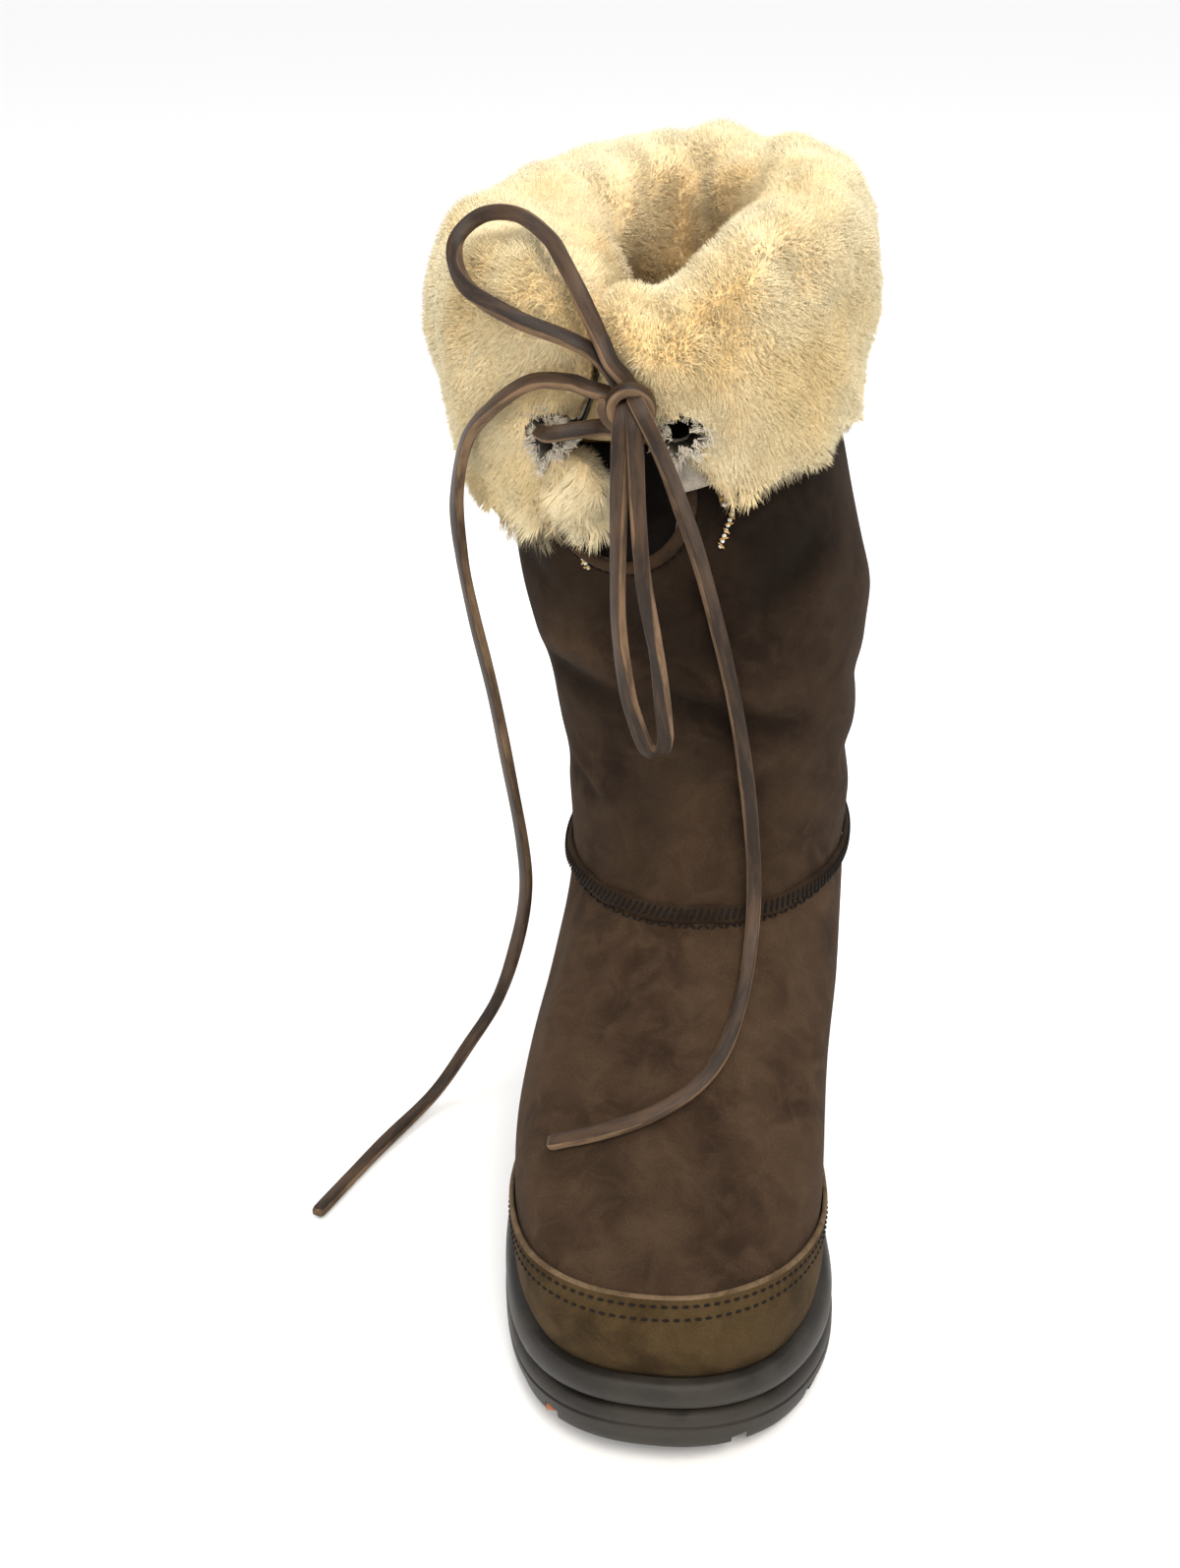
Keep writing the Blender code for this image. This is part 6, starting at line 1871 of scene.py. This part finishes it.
# Layers of the sole from tread to top: how far the wall is drawn in, and its share of the layer's height.
OUTSOLE_LAYERS = (
    (0.0045, 0.00), (0.0030, 0.03), (0.0018, 0.08), (0.0012, 0.20), (0.0010, 0.34), (0.0002, 0.38),
    (0.0000, 0.50), (0.0000, 0.58), (0.0006, 0.61), (0.0006, 0.65), (0.0000, 0.68), (0.0000, 0.74),
    (0.0004, 0.84), (0.0012, 0.91), (0.0028, 0.965), (0.0048, 1.00),
)
MIDSOLE_LAYERS = (
    (0.0052, 0.00), (0.0030, 0.05), (0.0012, 0.14), (0.0005, 0.26), (0.0004, 0.52), (0.0008, 0.70),
    (0.0014, 0.84), (0.0022, 0.94), (0.0034, 1.00),
)
SOLE_COLUMNS = 192


def stacked(loops):
    """Points and triangles of the solid through closed loops, its two ends closed from side to side."""
    loops = np.array(loops)
    rows, columns = loops.shape[:2]
    faces = [triangles(grid_faces(rows, columns, True))]
    top = (rows - 1) * columns
    k = np.arange(1, columns // 2 - 1)
    a, b, c, d = k, k + 1, columns - k - 1, columns - k
    rungs = np.vstack([np.stack([a, b, c], -1), np.stack([a, c, d], -1)])
    ends = np.array([[0, 1, columns - 1], [columns // 2 - 1, columns // 2, columns // 2 + 1]])
    cover = np.vstack([rungs, ends])
    faces.append(cover + top)
    faces.append(cover[:, ::-1])
    return loops.reshape(-1, 3), np.vstack(faces)


def plain_mesh(name, points, faces):
    made = bpy.data.meshes.new(name)
    made.from_pydata([tuple(p) for p in points], [], [tuple(int(i) for i in f) for f in faces])
    return made


BOX_CORNERS = np.array([(x, y, z) for z in (-1, 1) for x, y in ((-1, -1), (1, -1), (1, 1), (-1, 1))], float)
BOX_FACES = np.array(((3, 2, 1, 0), (4, 5, 6, 7), (0, 1, 5, 4), (1, 2, 6, 5), (2, 3, 7, 6), (3, 0, 4, 7)))


def box_points(centre, half):
    return np.array(centre) + MODEL_SHIFT + BOX_CORNERS * np.array(half)


def cut_boxes(piece, boxes):
    """Cuts a set of boxes out of a piece for good."""
    points = np.vstack([box_points(*b) for b in boxes])
    faces = np.vstack([BOX_FACES + 8 * k for k in range(len(boxes))])
    mesh = plain_mesh("cutter", points, faces)
    cutter = new_object("cutter", mesh)
    modifier = piece.modifiers.new("cut", "BOOLEAN")
    modifier.operation = "DIFFERENCE"
    modifier.object = cutter
    apply_modifiers(piece)
    bpy.data.objects.remove(cutter)
    bpy.data.meshes.remove(mesh)


def sole_layer(name, layers, low, high, material, node, boxes=()):
    around = ring(SOLE_COLUMNS)
    loops = []
    for inset, share in layers:
        loops.append(sole_point(around, inset, lambda along: low(along) + share * (high(along) - low(along))))
    points, faces = stacked(loops)
    piece = new_object(name, plain_mesh(name, points, faces))
    outward(piece)
    if boxes:
        cut_boxes(piece, boxes)
    piece.data.materials.clear()
    piece.data.materials.append(material)
    piece.data.shade_smooth()
    piece.data.set_sharp_from_angle(angle=math.radians(32))
    declare(piece, "dark_rubber", (node,))


def add_sole():
    boxes = []
    for along in TREAD_GROOVES:
        top = float(tread_height(along)) + LUG_DEPTH
        boxes.append(((0, HEEL_Y - along * SOLE_LENGTH, top - 0.02), (BALL_WIDTH, GROOVE_WIDTH / 2, 0.02)))
    middle = (TOE_GROOVE_START + 1.02) / 2
    reach = (1.02 - TOE_GROOVE_START) / 2 * SOLE_LENGTH
    toe_boxes = []
    for side in (-1, 1):
        across = side * TOE_GROOVE_ACROSS + 0.6 * TOE_SWING
        top = float(tread_height(0.96)) + LUG_DEPTH
        centre = across, HEEL_Y - middle * SOLE_LENGTH, top - 0.02
        toe_boxes.append((centre, (GROOVE_WIDTH / 2, reach, 0.02)))
    boxes = boxes + toe_boxes
    sole_layer("tread_outsole", OUTSOLE_LAYERS, tread_height, outsole_top, dark_rubber, "outsole", boxes)
    sole_layer(
        "cushion_midsole", MIDSOLE_LAYERS, lambda along: outsole_top(along) + GAP, footbed_height,
        dark_rubber, "midsole",
    )
    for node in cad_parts:
        if node.startswith("tread_pod"):
            pod = bpy.data.objects[node]
            for slot in pod.material_slots:
                slot.material = tan_rubber


def add_insole():
    """Fleece sock that lies on the midsole."""
    around = ring(120)
    inset = WALL + 0.0012
    loops = []
    half, shoulder = 0.5 * INSOLE_THICK, 0.85 * INSOLE_THICK
    for lift, extra in ((SOLE_CLEARANCE, 0.0), (half, 0.0), (shoulder, 0.0004), (INSOLE_THICK, 0.0018)):
        p = on_upper(around, FOOT_BOTTOM + lift, -inset - extra)
        p[:, 2] = footbed_height((HEEL_Y - (p[:, 1] - MODEL_SHIFT[1])) / SOLE_LENGTH) + lift
        loops.append(p)
    points, faces = stacked(loops)
    tones = wool_tones(len(points), 0.6)
    add_mesh("fleece_insole", points, faces, tan_wool, "cream_fur", ("insole",), tones)


LIT_POINT = Vector((0.0, -0.02, 0.15))


def add_studio():
    """Pale floor and soft light from the front and above, as a lit white sweep gives."""
    size = 9.0
    corners = [(-size, -size, 0), (size, -size, 0), (size, size, 0), (-size, size, 0)]
    floor = new_object("floor", plain_mesh("floor", corners, [(0, 1, 2, 3)]))
    material = start_material("floor_paper", Roughness=0.9, Specular_IOR_Level=0.2)[0]
    material.node_tree.nodes["Principled BSDF"].inputs["Base Color"].default_value = linear("#f4f4f3")
    floor.data.materials.append(material)
    world = bpy.context.scene.world or bpy.data.worlds.new("studio")
    bpy.context.scene.world = world
    world.use_nodes = True
    sky = world.node_tree.nodes["Background"]
    sky.inputs["Color"].default_value = linear("#fdfdff")
    sky.inputs["Strength"].default_value = 1.05
    for name, place, size, power, colour in (
        ("key", (0.55, -1.0, 1.50), 0.9, 25.0, "#fff8ee"),
        ("fill", (-0.9, -1.0, 0.8), 1.1, 6.0, "#fffaf2"),
        ("top", (0.1, 0.15, 1.6), 1.0, 10.0, "#ffffff"),
    ):
        lamp = bpy.data.lights.new(name, "AREA")
        lamp.size = size
        lamp.energy = power
        lamp.color = linear(colour)[:3]
        light = new_object(name, lamp)
        light.location = place
        light.rotation_euler = (LIT_POINT - Vector(place)).to_track_quat("-Z", "Y").to_euler()
    bpy.context.scene.view_settings.view_transform = "Standard"


add_upper()
add_lining()
add_gusset()
add_cuff()
overlay(
    "toe_bumper", "toe_cap", np.linspace(-CAP_REACH, CAP_REACH, 260) // 0.0001 * 0.0001,
    cap_plane, olive_suede,
)
overlay(
    "heel_counter_suede", "heel_counter", np.linspace(180.0 - COUNTER_REACH, 180.0 + COUNTER_REACH, 120),
    counter_plane, olive_suede,
)
add_stay()
add_seam()
add_braid()
add_binding()
add_sole()
add_insole()
add_studio()
